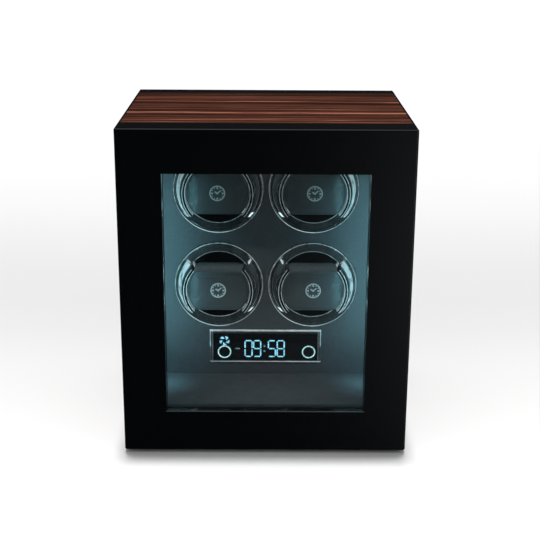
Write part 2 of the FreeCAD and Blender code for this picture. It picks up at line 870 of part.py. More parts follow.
def make_lamps():
    """A row of lamps down each side wall: a channel, a lamp strip and a milky cover."""
    channels = []
    strips = []
    covers = []
    wall_x = INNER - d.lining
    tip = wall_x - d.channel_height
    base = wall_x - d.channel_wall
    tape_top = base - d.tape_thick
    half = d.channel_width / 2
    slot_half = half - d.channel_wall
    for side in (-1, 1):
        shell = side_block("channel_shell", side, tip, wall_x, half, d.lamp_low, d.lamp_high)
        groove = side_block("channel_groove", side, tip - 1, base, slot_half, d.lamp_low - 1, d.lamp_high + 1)
        channels.append(cut(f"channel_{side}", shell, [groove]))
        chips = [side_block("lamp_tape", side, tape_top, base, d.tape_width / 2,
                            d.lamp_low + d.tape_end, d.lamp_high - d.tape_end)]
        for number in range(LAMP_CHIPS):
            z = d.lamp_low + d.chip_end + d.chip_pitch * number
            chips.append(side_block(f"lamp_chip_{number}", side, tape_top - d.chip_height, tape_top,
                                    d.chip_width / 2, z - d.chip_length / 2, z + d.chip_length / 2))
        strips.append(fuse(f"lamp_strip_{side}", chips))
        covers.append(side_block("lamp_cover", side, tip, tip + d.diffuser_thick, slot_half,
                                 d.lamp_low, d.lamp_high))
    keep("led_channels", group("led_channels", channels))
    keep("led_strips", group("led_strips", strips))
    keep("led_diffusers", group("led_diffusers", covers))


# ---------------------------------------------------------------- turntables

CUP_FLOOR = d.ring_back + d.cup_depth
HUB_FRONT = CUP_FLOOR + d.cup_floor
HUB_REAR = HUB_FRONT + d.hub_length
SHAFT_START = CUP_FLOOR + 1.6


def make_turntable(label, x, z):
    """A clear ring with two ears, the black cup behind it, its shaft and its cushion."""
    ring = new_body(f"clear_ring_{label}", (x, 0, z))
    revolve(ring, [
        (d.ring_hole, d.ring_front + d.ring_dish), (d.ring_radius - d.ring_lip, d.ring_front),
        (d.ring_radius, d.ring_front + 0.5), (d.ring_radius, d.ring_back), (d.ring_hole, d.ring_back),
    ])
    for side in (1, -1):
        revolve(ring, [
            (side * d.ear_inner, d.ear_front), (side * d.ear_lip, d.ear_front),
            (side * d.ear_root, d.ring_front + 0.4), (side * d.ear_root, d.ring_back),
            (side * d.ear_inner, d.ring_back),
        ], d.ear_half_angle)
    keep(f"clear_ring_{label}", ring)

    cup_outer = d.ring_hole + d.cup_wall
    bore = d.shaft_radius + d.hub_play
    drum = new_body(f"drum_{label}", (x, 0, z))
    revolve(drum, [
        (0, CUP_FLOOR), (d.ring_hole, CUP_FLOOR), (d.ring_hole, d.ring_back),
        (d.flange_radius, d.ring_back), (d.flange_radius, d.ring_back + d.flange_thick),
        (cup_outer, d.ring_back + d.flange_thick), (cup_outer, HUB_FRONT),
        (d.hub_radius, HUB_FRONT), (d.hub_radius, HUB_REAR), (bore, HUB_REAR),
        (bore, SHAFT_START - 0.1), (0, SHAFT_START - 0.1),
    ])
    for side in (1, -1):
        revolve(drum, [
            (side * d.rib_inner, d.ring_back + 1), (side * (d.ring_hole + 1), d.ring_back + 1),
            (side * (d.ring_hole + 1), CUP_FLOOR + 1), (side * d.rib_inner, CUP_FLOOR + 1),
        ], d.rib_half_angle)
    keep(f"drum_{label}", drum)

    bar = rod(f"shaft_bar_{label}", "+Y", (x, SHAFT_START, z), d.shaft_radius, d.shaft_length)
    flat = block(f"shaft_flat_{label}", (x - d.shaft_radius, SHAFT_START - 1, z + d.shaft_flat),
                 (x + d.shaft_radius, HUB_REAR, z + d.shaft_radius + 1))
    keep(f"motor_shaft_{label}", cut(f"motor_shaft_{label}", bar, [flat]))

    cushion = make_cushion(label)
    move(cushion, (x, 0, z))
    keep(f"cushion_{label}", cushion)


def rounded(name, solid, size, test):
    """A copy of a solid with the edges that pass a test rounded."""
    doc.recompute()
    numbers = [number for number, edge in enumerate(solid.Shape.Edges, start=1) if test(edge)]
    thing = doc.addObject("Part::Fillet", name)
    thing.Base = solid
    thing.Edges = [(number, size.number, size.number) for number in numbers]
    return thing


def make_cushion(label):
    """A roll cut flat above and below, with softened ends, on the Y axis."""
    front, rear = d.ear_front, d.ear_front + d.cushion_depth
    half_width = d.cushion_radius + 1
    roll = rod(f"cushion_roll_{label}", "+Y", (0, front, 0), d.cushion_radius, d.cushion_depth)
    slab = block(f"cushion_slab_{label}", (-half_width, front, -d.cushion_half),
                 (half_width, rear, d.cushion_half))

    def across(edge):
        return edge.BoundBox.XLength > d.cushion_radius.number and edge.BoundBox.YLength < TOUCHING

    trimmed = doc.addObject("Part::Common", f"cushion_trim_{label}")
    trimmed.Base = rounded(f"cushion_soft_roll_{label}", roll, d.cushion_round, across)
    trimmed.Tool = rounded(f"cushion_soft_slab_{label}", slab, d.cushion_round, across)
    return group(f"cushion_{label}", [trimmed])


# ---------------------------------------------------------------- drive and electronics

PLATE_REAR = d.plate_front + d.plate_thick
GEARBOX_REAR = PLATE_REAR + d.gearbox_depth


def make_motor(label, x, z):
    """A small gearmotor: the gearbox hangs below its own offset output shaft."""
    low_z = z - d.gearbox_drop
    gearbox = rod(f"gearbox_{label}", "+Y", (x, PLATE_REAR, low_z), d.gearbox_radius, d.gearbox_depth)
    can = rod(f"can_{label}", "+Y", (x, GEARBOX_REAR, low_z), d.can_radius, d.can_depth)
    boss_start = d.plate_front - d.boss_proud
    boss = rod(f"boss_{label}", "+Y", (x, boss_start, z), d.boss_radius, PLATE_REAR + 1 - boss_start)
    can_rear = GEARBOX_REAR + d.can_depth
    tabs = [centred_block(f"tab_{label}_{side}", x + side * d.tab_x, low_z, d.tab_width, d.tab_thick,
                          can_rear - 1, can_rear + d.tab_length) for side in (-1, 1)]
    bore_start = d.plate_front - 2
    bore = rod(f"bore_{label}", "+Y", (x, bore_start, z), d.shaft_radius + d.shaft_play,
               SHAFT_START + d.shaft_length + 1 - bore_start)
    hole_depth = d.motor_screw_length + 0.5
    holes = [rod(f"motor_hole_{label}_{side}", "+Y", (x + side * d.motor_screw_x, PLATE_REAR - 1, low_z),
                 d.pan_hole, hole_depth) for side in (-1, 1)]
    solid = fuse(f"motor_solid_{label}", [gearbox, can, boss] + tabs)
    keep(f"gearmotor_{label}", cut(f"gearmotor_{label}", solid, [bore] + holes))


def pan_screw(name, axis, place, under_head, length):
    """A pan head screw: its head starts at place, and its shank at under_head inside the head."""
    head = rod(f"{name}_head", axis, place, d.pan_radius, d.pan_height)
    shank = rod(f"{name}_shank", axis, under_head, d.pan_shank, length)
    return fuse(name, [head, shank])


def make_drive():
    sheet_metal = new_body("motor_plate_blank")
    profile = new_sketch(sheet_metal, "XY_Plane", d.plate_low)
    inner = INNER - d.plate_thick
    flange_rear = d.plate_front + d.plate_flange
    polygon(profile, [
        (-INNER, d.plate_front), (INNER, d.plate_front), (INNER, flange_rear), (inner, flange_rear),
        (inner, PLATE_REAR), (-inner, PLATE_REAR), (-inner, flange_rear), (-INNER, flange_rear),
    ])
    pad(sheet_metal, profile, d.plate_high - d.plate_low)
    tools = rotor_rods("plate_hole", d.boss_radius + 0.1, d.plate_front - 1, d.plate_thick + 2)
    motor_screws = []
    for label, (x, z) in ROTORS.items():
        make_motor(label, x, z)
        for side in (-1, 1):
            screw_x = x + side * d.motor_screw_x
            screw_z = z - d.gearbox_drop
            name = f"motor_screw_{label}_{side}"
            head_y = d.plate_front - d.pan_height
            motor_screws.append(pan_screw(name, "+Y", (screw_x, head_y, screw_z),
                                          (screw_x, head_y + d.pan_engagement, screw_z),
                                          d.motor_screw_length))
            tools.append(rod(f"plate_{name}", "+Y", (screw_x, d.plate_front - 1, screw_z), d.pan_hole,
                             d.plate_thick + 2))
    keep("motor_screws", group("motor_screws", motor_screws))

    plate_screws = []
    wall_holes = {-1: [], 1: []}
    for side, axis in ((-1, "-X"), (1, "+X")):
        head_x = inner - d.pan_height
        for number, z in enumerate((d.plate_low + d.plate_screw_inset, d.plate_high - d.plate_screw_inset)):
            y = d.plate_front + 0.6 * d.plate_flange
            name = f"plate_screw_{side}_{number}"
            plate_screws.append(pan_screw(name, axis, (side * head_x, y, z),
                                          (side * (head_x + d.pan_engagement), y, z), d.plate_screw_length))
            hole = rod(f"{name}_hole", axis, (side * (inner - 1), y, z), d.pan_hole, d.plate_screw_length + 2)
            tools.append(hole)
            wall_holes[side].append(hole)
    keep("motor_plate_screws", group("motor_plate_screws", plate_screws))
    keep("motor_plate", cut("motor_plate", sheet_metal, tools))
    for side, label in ((-1, "left_panel"), (1, "right_panel")):
        solid = pieces[label]
        solid.Label = f"{label}_undrilled"
        keep(label, cut(f"{label}_drilled", solid, wall_holes[side]))


BOARD_LOW = INNER_LOW + d.standoff_height
BOARD_TOP = BOARD_LOW + d.board_thick
COMPONENTS = (
    # name, middle x, middle y, size x, size y, height
    ("regulator", -34, 60, 16, 12, 9),
    ("coil", -12, 62, 12, 12, 7),
    ("processor", 10, 48, 12, 12, 1.6),
    ("driver_a", -22, 36, 8, 6, 1.8),
    ("driver_b", 26, 36, 8, 6, 1.8),
    ("motor_socket", 32, 64, 20, 7, 7),
    ("display_socket", 0, 26, 22, 5, 6),
)


def make_control_board():
    parts = [block("board_slab", (-d.board_half_width, d.board_front, BOARD_LOW),
                   (d.board_half_width, d.board_rear, BOARD_TOP))]
    for name, x, y, size_x, size_y, tall in COMPONENTS:
        parts.append(block(f"board_{name}", (x - size_x / 2, y - size_y / 2, BOARD_TOP - 0.2),
                           (x + size_x / 2, y + size_y / 2, BOARD_TOP + tall)))
    keep("control_board", fuse("control_board", parts))
    stand_x = d.board_half_width - d.standoff_inset
    stands = []
    for number, (x, y) in enumerate((
        (-stand_x, d.board_front + d.standoff_inset),
        (stand_x, d.board_front + d.standoff_inset),
        (-stand_x, d.board_rear - d.standoff_inset),
        (stand_x, d.board_rear - d.standoff_inset),
    )):
        place = (x, y, INNER_LOW)
        stands.append(rod(f"standoff_{number}", "+Z", place, d.standoff_radius, d.standoff_height))
    keep("board_standoffs", group("board_standoffs", stands))


JACK_FRONT = COVER_FRONT - 1.5 * d.jack_length


def make_jack():
    """The round power inlet: a flanged barrel with its contact pin, held by a nut behind the cover."""
    flange = rod("jack_flange_disc", "+Y", (0, COVER_REAR, d.jack_z), d.jack_flange, d.jack_flange_thick)
    barrel = rod("jack_barrel_rod", "+Y", (0, COVER_FRONT - d.jack_length, d.jack_z), d.jack_barrel,
                 d.jack_length + d.cover_thick)
    tail = centred_block("jack_tail", term(0), d.jack_z, d.jack_tail, d.jack_tail,
                         JACK_FRONT, JACK_FRONT + d.jack_tail_depth)
    mouth_start = COVER_FRONT - d.jack_mouth_depth
    mouth = rod("jack_mouth", "+Y", (0, mouth_start, d.jack_z), d.jack_bore,
                d.jack_mouth_depth + d.cover_thick + d.jack_flange_thick + 1)
    shell = cut("jack_shell", fuse("jack_solid", [flange, barrel, tail]), [mouth])
    pin_start = mouth_start - 0.5
    pin_end = COVER_REAR + d.jack_flange_thick - 1.5
    pin = rod("jack_centre_pin", "+Y", (0, pin_start, d.jack_z), d.jack_pin, pin_end - pin_start)
    keep("dc_jack", fuse("dc_jack", [shell, pin]))

    prism = doc.addObject("Part::Prism", "jack_nut_prism")
    prism.Polygon = 6
    bind(prism, "Circumradius", d.nut_radius)
    bind(prism, "Height", d.nut_thick)
    prism.Placement = FreeCAD.Placement(Vector(), AXIS_TURNS["+Y"])
    move(prism, (0, COVER_FRONT - d.nut_thick, d.jack_z))
    nut_hole = rod("jack_nut_hole", "+Y", (0, COVER_FRONT - d.nut_thick - 1, d.jack_z),
                   d.jack_barrel + d.screw_play, d.nut_thick + 2)
    keep("dc_jack_nut", cut("dc_jack_nut", prism, [nut_hole]))


def lead(name, points, radius, bend):
    """An insulated lead along straight runs, rounded off at each corner."""
    points = [Vector(*point) for point in points]
    edges = []
    start = points[0]
    for before, corner, after in zip(points, points[1:], points[2:]):
        inwards = (before - corner).normalize()
        onwards = (after - corner).normalize()
        half_turn = inwards.getAngle(onwards) / 2
        setback = bend / math.tan(half_turn)
        arc_start = corner + inwards * setback
        arc_end = corner + onwards * setback
        bisector = (inwards + onwards).normalize()
        arc_middle = corner + bisector * (bend / math.sin(half_turn) - bend)
        edges.append(Part.LineSegment(start, arc_start).toShape())
        edges.append(Part.Arc(arc_start, arc_middle, arc_end).toShape())
        start = arc_end
    edges.append(Part.LineSegment(start, points[-1]).toShape())
    path = Part.Wire(edges)
    first_run = (points[1] - points[0]).normalize()
    section = Part.Wire(Part.makeCircle(radius, points[0], first_run))
    thing = doc.addObject("Part::Feature", name)
    thing.Shape = path.makePipeShell([section], True, False)
    return thing


LEAD_DROP = 5.0  # from the jack's tail to the lead's first corner


def make_harness():
    """Leads from the jack, the display and each motor to their sockets on the control board."""
    heights = {name: (BOARD_TOP + tall).number for name, _, _, _, _, tall in COMPONENTS}
    places = {name: (x, y) for name, x, y, _, _, _ in COMPONENTS}

    jack_y, jack_z = JACK_FRONT.number, d.jack_z.number
    regulator_x, regulator_y = places["regulator"]
    leads = [lead("dc_lead", [
        (0, jack_y, jack_z),
        (0, jack_y - LEAD_DROP, jack_z),
        (regulator_x, jack_y - LEAD_DROP, jack_z),
        (regulator_x, jack_y - 3 * LEAD_DROP, jack_z),
        (regulator_x, jack_y - 3 * LEAD_DROP, heights["regulator"]),
    ], 1.2, 2.4)]

    socket_x, socket_y = places["display_socket"]
    display_y = (FASCIA_REAR + d.board_thick).number
    display_z = 46
    leads.append(lead("display_lead", [
        (socket_x, display_y, display_z),
        (socket_x, socket_y, display_z),
        (socket_x, socket_y, heights["display_socket"]),
    ], 1.2, 3))

    motor_y = places["motor_socket"][1]
    can_rear = (GEARBOX_REAR + d.can_depth).number
    for number, (label, (x, z)) in enumerate(ROTORS.items()):
        side = 1 if "right" in label else -1
        upper = "upper" in label
        far_x = side * (72 if upper else 78)
        gallery_z = 50 + 3 * number
        end_x = 26 + 4 * number
        route_y = can_rear - (12 if upper else 8)
        low_z = (z - d.gearbox_drop).number
        leads.append(lead(f"motor_lead_{label}", [
            ((x + side * d.can_radius).number, route_y, low_z),
            (far_x, route_y, low_z),
            (far_x, route_y, gallery_z),
            (end_x, route_y, gallery_z),
            (end_x, motor_y, gallery_z),
            (end_x, motor_y, heights["motor_socket"]),
        ], 1.0, 2.5))
    keep("wiring_harness", group("wiring_harness", leads))


def make_feet():
    feet = []
    for number, (side, end) in enumerate(((-1, -1), (1, -1), (-1, 1), (1, 1))):
        place = (side * d.foot_x, end * d.foot_y, 0)
        feet.append(rod(f"foot_{number}", "+Z", place, d.foot_tread, d.foot_height, d.foot_radius))
    keep("rubber_feet", group("rubber_feet", feet))


# ---------------------------------------------------------------- the whole box

door_leaf_near = HINGE_Y - d.leaf_stand
cabinet_leaf_near = HINGE_Y + d.leaf_stand
door_hinge_seats = screw_set("hinge_screws_door", hinge_screw_places(), "-Y", door_leaf_near)
cabinet_hinge_seats = screw_set("hinge_screws_cabinet", hinge_screw_places(), "+Y", cabinet_leaf_near)
make_hinges(door_hinge_seats, cabinet_hinge_seats)
make_sleeve(cabinet_hinge_seats)
make_rear()
make_door(door_hinge_seats)
make_interior()
make_display()
make_lamps()
for rotor_label, (rotor_x, rotor_z) in ROTORS.items():
    make_turntable(rotor_label, rotor_x, rotor_z)
make_drive()
make_control_board()
make_jack()
make_harness()
make_feet()

doc.recompute()
broken = [item.Label for item in doc.Objects if {"Invalid", "Error"} & set(item.State)]
if broken:
    raise RuntimeError(f"features that failed: {broken}")
for name, piece in pieces.items():
    if piece.Shape.isNull() or not piece.Shape.isValid() or not piece.Shape.Solids:
        raise RuntimeError(f"{name} has no valid solid")

os.makedirs("parts", exist_ok=True)
for name, piece in pieces.items():
    piece.Shape.exportStep(f"parts/{name}.step")
    print(f"{name:28s} {len(piece.Shape.Solids):3d} solids {piece.Shape.Volume / 1000:9.2f} cm3")
print(len(pieces), "pieces")
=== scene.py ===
import math

import bmesh
import bpy
import numpy as np
from mathutils import Matrix, Vector
from mathutils.bvhtree import BVHTree

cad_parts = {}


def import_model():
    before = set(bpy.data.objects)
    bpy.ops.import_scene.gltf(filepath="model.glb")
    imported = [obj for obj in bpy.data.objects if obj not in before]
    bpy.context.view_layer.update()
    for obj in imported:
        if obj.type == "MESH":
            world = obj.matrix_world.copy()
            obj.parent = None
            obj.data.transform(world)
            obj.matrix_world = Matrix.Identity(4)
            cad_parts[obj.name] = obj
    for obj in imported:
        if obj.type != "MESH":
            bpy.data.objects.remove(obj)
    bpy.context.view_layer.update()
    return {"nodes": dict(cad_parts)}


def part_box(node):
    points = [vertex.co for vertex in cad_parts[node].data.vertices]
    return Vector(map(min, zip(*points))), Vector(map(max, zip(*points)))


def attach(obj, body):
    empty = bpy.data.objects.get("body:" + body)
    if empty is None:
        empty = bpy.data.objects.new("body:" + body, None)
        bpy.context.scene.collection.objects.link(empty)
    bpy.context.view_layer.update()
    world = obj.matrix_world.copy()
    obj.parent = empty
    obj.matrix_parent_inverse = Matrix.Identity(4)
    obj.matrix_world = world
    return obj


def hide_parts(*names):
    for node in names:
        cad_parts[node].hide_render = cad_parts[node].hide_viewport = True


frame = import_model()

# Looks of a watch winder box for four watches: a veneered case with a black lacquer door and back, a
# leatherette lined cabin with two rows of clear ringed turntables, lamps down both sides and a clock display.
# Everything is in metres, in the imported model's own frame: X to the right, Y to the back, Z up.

MM = 0.001
SCENE = bpy.context.scene
TURNTABLES = ("upper_left", "upper_right", "lower_left", "lower_right")


# ---------------------------------------------------------------- camera

CAMERA_PLACE = Vector((-0.00086, -1.0182, 0.46795))
CAMERA_PITCH = math.radians(17.90)
CAMERA_YAW = math.radians(0.274)
CAMERA_ROLL = math.radians(0.332)
CAMERA_LENS = 75.64
CAMERA_SENSOR = 36.0


def make_camera():
    data = bpy.data.cameras.new("camera")
    data.sensor_fit = "HORIZONTAL"
    data.sensor_width = CAMERA_SENSOR
    data.lens = CAMERA_LENS
    camera = bpy.data.objects.new("camera", data)
    turned = Matrix.Rotation(-CAMERA_YAW, 4, "Z")
    tipped = Matrix.Rotation(math.pi / 2 - CAMERA_PITCH, 4, "X")
    rolled = Matrix.Rotation(CAMERA_ROLL, 4, "Z")
    camera.matrix_world = Matrix.Translation(CAMERA_PLACE) @ turned @ tipped @ rolled
    SCENE.collection.objects.link(camera)
    SCENE.camera = camera


# ---------------------------------------------------------------- material helper


class Finish:
    """A Principled material, with short calls for the nodes that feed it. Sizes are in metres."""

    def __init__(self, name, **sockets):
        self.material = bpy.data.materials.new(name)
        self.material.use_nodes = True
        self.tree = self.material.node_tree
        self.tree.nodes.clear()
        self.output = self.tree.nodes.new("ShaderNodeOutputMaterial")
        self.shader = self.tree.nodes.new("ShaderNodeBsdfPrincipled")
        self.link(self.shader.outputs[0], self.output.inputs["Surface"])
        self.place = self.tree.nodes.new("ShaderNodeTexCoord").outputs["Object"]
        self.normal = None
        for name, value in sockets.items():
            self.feed(name, value)

    def link(self, value, socket):
        """Gives a socket a node's output, or a value. A colour may be three numbers."""
        if isinstance(value, bpy.types.NodeSocket):
            self.tree.links.new(value, socket)
            return
        if socket.type == "RGBA" and len(value) == 3:
            value = (*value, 1.0)
        socket.default_value = value

    def feed(self, name, value):
        self.link(value, self.shader.inputs[name.replace("_", " ")])

    def node(self, kind, **settings):
        made = self.tree.nodes.new("ShaderNode" + kind)
        for name, value in settings.items():
            setattr(made, name, value)
        return made

    def fed(self, kind, values, **settings):
        """The first output of a new node, whose first inputs are the values."""
        made = self.node(kind, **settings)
        for value, socket in zip(values, made.inputs):
            self.link(value, socket)
        return made.outputs[0]

    def math(self, operation, *values):
        return self.fed("Math", values, operation=operation)

    def vectors(self, operation, *values):
        return self.fed("VectorMath", values, operation=operation)

    def join(self, *axes):
        return self.fed("CombineXYZ", axes)

    def axes(self):
        split = self.node("SeparateXYZ")
        self.link(self.place, split.inputs[0])
        return split.outputs[0], split.outputs[1], split.outputs[2]

    def stretched(self, x, y, z, vector=None):
        return self.vectors("MULTIPLY", vector or self.place, (x, y, z))

    def moved(self, by, amount):
        """The place, pushed about by a noise's colour, so that a pattern isn't regular."""
        centred = self.vectors("SUBTRACT", by, (0.5, 0.5, 0.5))
        push = self.vectors("MULTIPLY", centred, (amount, amount, amount))
        return self.vectors("ADD", self.place, push)

    def noise(self, size, vector=None, detail=2.0, roughness=0.5, colour=False):
        made = self.node("TexNoise")
        self.link(vector or self.place, made.inputs["Vector"])
        made.inputs["Scale"].default_value = 1.0 / size
        made.inputs["Detail"].default_value = detail
        made.inputs["Roughness"].default_value = roughness
        return made.outputs["Color" if colour else "Fac"]

    def cells(self, size, vector=None, feature="F1"):
        made = self.node("TexVoronoi", feature=feature)
        self.link(vector or self.place, made.inputs["Vector"])
        made.inputs["Scale"].default_value = 1.0 / size
        return made.outputs["Distance"]

    def spread(self, value, low, high, to_low=0.0, to_high=1.0):
        made = self.node("MapRange")
        for name, number in (("From Min", low), ("From Max", high), ("To Min", to_low), ("To Max", to_high)):
            made.inputs[name].default_value = number
        self.link(value, made.inputs["Value"])
        return made.outputs["Result"]

    def vary(self, noise, low, high):
        """The usual range of a noise, made to run from low to high."""
        return self.spread(noise, 0.3, 0.7, low, high)

    def mix(self, share, first, second):
        made = self.node("Mix", data_type="RGBA")
        for value, place in ((share, 0), (first, 6), (second, 7)):
            self.link(value, made.inputs[place])
        return made.outputs[2]

    def colour(self, share, first, second):
        self.feed("Base_Color", self.mix(share, first, second))

    def rough(self, noise, low, high):
        self.feed("Roughness", self.vary(noise, low, high))

    def ramp(self, value, stops, smooth="LINEAR"):
        """A colour for each value. Stops are pairs of a value and a colour or grey level."""
        made = self.node("ValToRGB")
        made.color_ramp.interpolation = smooth
        while len(made.color_ramp.elements) < len(stops):
            made.color_ramp.elements.new(1.0)
        for element, (at, colour) in zip(made.color_ramp.elements, stops):
            element.position = at
            element.color = (*colour, 1.0) if isinstance(colour, tuple) else (colour, colour, colour, 1.0)
        self.link(value, made.inputs["Fac"])
        return made.outputs["Color"]

    def bump(self, height, depth, strength=1.0):
        """Adds relief of that depth, on top of any relief already there."""
        made = self.node("Bump")
        made.inputs["Distance"].default_value = depth
        made.inputs["Strength"].default_value = strength
        self.link(height, made.inputs["Height"])
        if self.normal:
            self.link(self.normal, made.inputs["Normal"])
        self.normal = made.outputs["Normal"]
        self.feed("Normal", self.normal)

    def let_lamps_through(self, tint):
        """Clear sheet and mouldings don't shade what is behind them."""
        path = self.node("LightPath")
        passing = self.math("MAXIMUM", path.outputs["Is Shadow Ray"], path.outputs["Is Diffuse Ray"])
        open_air = self.node("BsdfTransparent")
        self.link(tint, open_air.inputs["Color"])
        mixed = self.node("MixShader")
        self.link(passing, mixed.inputs[0])
        self.link(self.shader.outputs[0], mixed.inputs[1])
        self.link(open_air.outputs[0], mixed.inputs[2])
        self.link(mixed.outputs[0], self.output.inputs["Surface"])


# ---------------------------------------------------------------- wood, lacquer and boards

CASE_FRONT, CASE_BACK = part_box("top_panel")[0].y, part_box("top_panel")[1].y
CASE_HALF_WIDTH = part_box("right_panel")[1].x
CASE_LOW, CASE_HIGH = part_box("left_panel")[0].z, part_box("top_panel")[1].z
CORNER_BEAD = 2.5 * MM
BLACK_EDGE = (0.006, 0.006, 0.007)
GRAIN_LENGTH = 50.0  # how much longer the grain's marks are along it than across it
VENEER_STREAKS = (
    # distance in from the case's front edge in mm, half width in mm, strength
    (6.0, 2.4, 0.65),
    (15.5, 2.6, 0.95),
    (22.5, 2.4, 0.55),
    (35.0, 2.0, 0.16),
    (51.5, 5.0, 1.0),
    (69.5, 2.2, 0.66),
    (79.0, 3.0, 0.45),
    (109.5, 5.5, 0.8),
    (128.0, 6.0, 0.5),
    (138.0, 3.5, 0.3),
)


def macassar_veneer():
    """Dark ebony veneer. The grain runs across the top and down the sides, so its stripes vary with depth.
    The case's long corners have a black bead, and the front edges are black."""
    wood = Finish("veneer", Coat_Weight=0.4, Coat_Roughness=0.035, IOR=1.45, Specular_IOR_Level=0.2)
    wander = wood.noise(120.0 * MM, detail=3.0)
    x, straight, z = wood.axes()
    y = wood.math("ADD", straight, wood.spread(wander, 0.2, 0.8, -4.0 * MM, 4.0 * MM))
    along = 1.0 / GRAIN_LENGTH
    grain = wood.join(wood.math("MULTIPLY", x, along), y, wood.math("MULTIPLY", z, along))
    depth = wood.spread(y, CASE_FRONT, CASE_BACK)
    length = (CASE_BACK - CASE_FRONT) / MM
    stops = []
    for inset, half, strength in VENEER_STREAKS:
        stops += [((inset - half) / length, 0.0), (inset / length, strength), ((inset + half) / length, 0.0)]
    fading = wood.noise(50.0 * MM, wood.join(x, wood.math("MULTIPLY", y, 6.0), z))
    fading = wood.spread(fading, 0.35, 0.6, 0.62, 1.08)
    streak = wood.math("MULTIPLY", wood.ramp(depth, stops, "EASE"), fading)
    band = wood.noise(9.0 * MM, grain)
    line = wood.noise(1.7 * MM, grain, detail=3.0, roughness=0.6)
    fibre = wood.noise(0.28 * MM, grain, detail=1.0)
    tone = wood.math("MULTIPLY_ADD", streak, 0.6, wood.vary(band, 0.04, 0.38))
    tone = wood.math("ADD", tone, wood.spread(line, 0.32, 0.68, -0.15, 0.20))
    tone = wood.math("ADD", tone, wood.vary(fibre, -0.05, 0.06))
    tint = wood.ramp(tone, (
        (0.0, (0.018, 0.008, 0.006)),
        (0.18, (0.042, 0.013, 0.008)),
        (0.36, (0.105, 0.032, 0.017)),
        (0.60, (0.27, 0.083, 0.050)),
        (0.85, (0.56, 0.22, 0.14)),
    ))
    pore = wood.noise(0.22 * MM, wood.stretched(along, 1.0, along), detail=1.0)
    tint = wood.mix(wood.spread(pore, 0.62, 0.72, 0.0, 0.5), tint, (0.008, 0.005, 0.004))
    side, head, foot = CASE_HALF_WIDTH - CORNER_BEAD, CASE_HIGH - CORNER_BEAD, CASE_LOW + CORNER_BEAD
    fade = 0.2 * MM
    beside = wood.spread(wood.math("ABSOLUTE", x), side, side + fade)
    above = wood.spread(z, head, head + fade)
    below = wood.spread(z, foot, foot - fade)
    bead = wood.math("MULTIPLY", beside, wood.math("MAXIMUM", above, below))
    sawn = wood.math("LESS_THAN", straight, CASE_FRONT + 0.3 * MM)
    wood.colour(wood.math("MAXIMUM", bead, sawn), tint, BLACK_EDGE)
    wood.rough(line, 0.28, 0.44)
    wood.bump(fibre, 0.004 * MM, 0.5)
    wood.bump(wood.noise(14.0 * MM), 0.05 * MM, 0.12)
    return wood.material


def black_lacquer():
    """Piano lacquer: deep black, with the faintest orange peel and polishing haze."""
    coat = Finish("black_lacquer", Coat_Weight=0.6, Coat_Roughness=0.02, Specular_IOR_Level=0.3)
    haze = coat.noise(18.0 * MM, detail=4.0)
    bent = coat.moved(coat.noise(30.0 * MM, colour=True), 20.0 * MM)
    swirl = coat.noise(0.5 * MM, coat.stretched(0.05, 0.4, 1.0, bent))
    coat.colour(haze, (0.0007, 0.0013, 0.0017), (0.0012, 0.0019, 0.0023))
    coat.feed("Roughness", coat.math("ADD", coat.vary(haze, 0.06, 0.12),
                                     coat.spread(swirl, 0.66, 0.8, 0.0, 0.08)))
    coat.bump(coat.noise(5.0 * MM, detail=1.0), 0.02 * MM, 0.08)
    return coat.material


def black_board():
    """Satin black paint on fibreboard, slightly stippled."""
    paint = Finish("black_board", IOR=1.45)
    stipple = paint.noise(0.6 * MM, detail=3.0, roughness=0.6)
    blotch = paint.noise(25.0 * MM, detail=3.0)
    paint.colour(blotch, (0.012, 0.012, 0.013), (0.022, 0.022, 0.024))
    paint.rough(blotch, 0.42, 0.58)
    paint.bump(stipple, 0.04 * MM, 0.6)
    return paint.material


# ---------------------------------------------------------------- leather


def leatherette():
    """Fine pebbled lining: small cells with soft valleys between them, over slight waves."""
    skin = Finish("leatherette", IOR=1.45, Sheen_Weight=0.12, Sheen_Roughness=0.45, Specular_IOR_Level=0.4)
    wander = skin.noise(2.4 * MM, colour=True)
    pebble = skin.cells(1.05 * MM, skin.moved(wander, 1.1 * MM), "DISTANCE_TO_EDGE")
    valley = skin.spread(pebble, 0.0, 0.22)
    tone = skin.noise(7.0 * MM, detail=4.0, roughness=0.6)
    flat = skin.mix(tone, (0.033, 0.038, 0.044), (0.050, 0.056, 0.063))
    # the pebbles' valleys are painted darker: painted shade
    skin.colour(valley, (0.016, 0.019, 0.023), flat)
    skin.rough(tone, 0.42, 0.58)
    skin.bump(skin.noise(9.0 * MM), 0.18 * MM, 0.35)
    skin.bump(valley, 0.07 * MM, 0.7)
    skin.bump(skin.noise(0.22 * MM), 0.015 * MM, 0.5)
    return skin.material


def cushion_leather():
    """Softer, closer grained leather, with shallow creases where it is pulled round the pad."""
    hide = Finish("cushion_leather", IOR=1.45, Sheen_Weight=0.1, Sheen_Roughness=0.4, Specular_IOR_Level=0.45)
    wander = hide.noise(1.6 * MM, colour=True)
    pebble = hide.cells(0.62 * MM, hide.moved(wander, 0.8 * MM), "DISTANCE_TO_EDGE")
    valley = hide.spread(pebble, 0.0, 0.2)
    tone = hide.noise(5.0 * MM, detail=4.0)
    bent = hide.moved(hide.noise(4.0 * MM, colour=True), 4.0 * MM)
    crease = hide.cells(5.5 * MM, bent, "DISTANCE_TO_EDGE")
    flat = hide.mix(tone, (0.029, 0.041, 0.046), (0.044, 0.059, 0.065))
    # the pebbles' valleys are painted darker: painted shade
    hide.colour(valley, (0.018, 0.023, 0.026), flat)
    hide.rough(tone, 0.36, 0.5)
    hide.bump(hide.spread(crease, 0.0, 0.06), 0.04 * MM, 0.35)
    hide.bump(valley, 0.045 * MM, 0.6)
    return hide.material


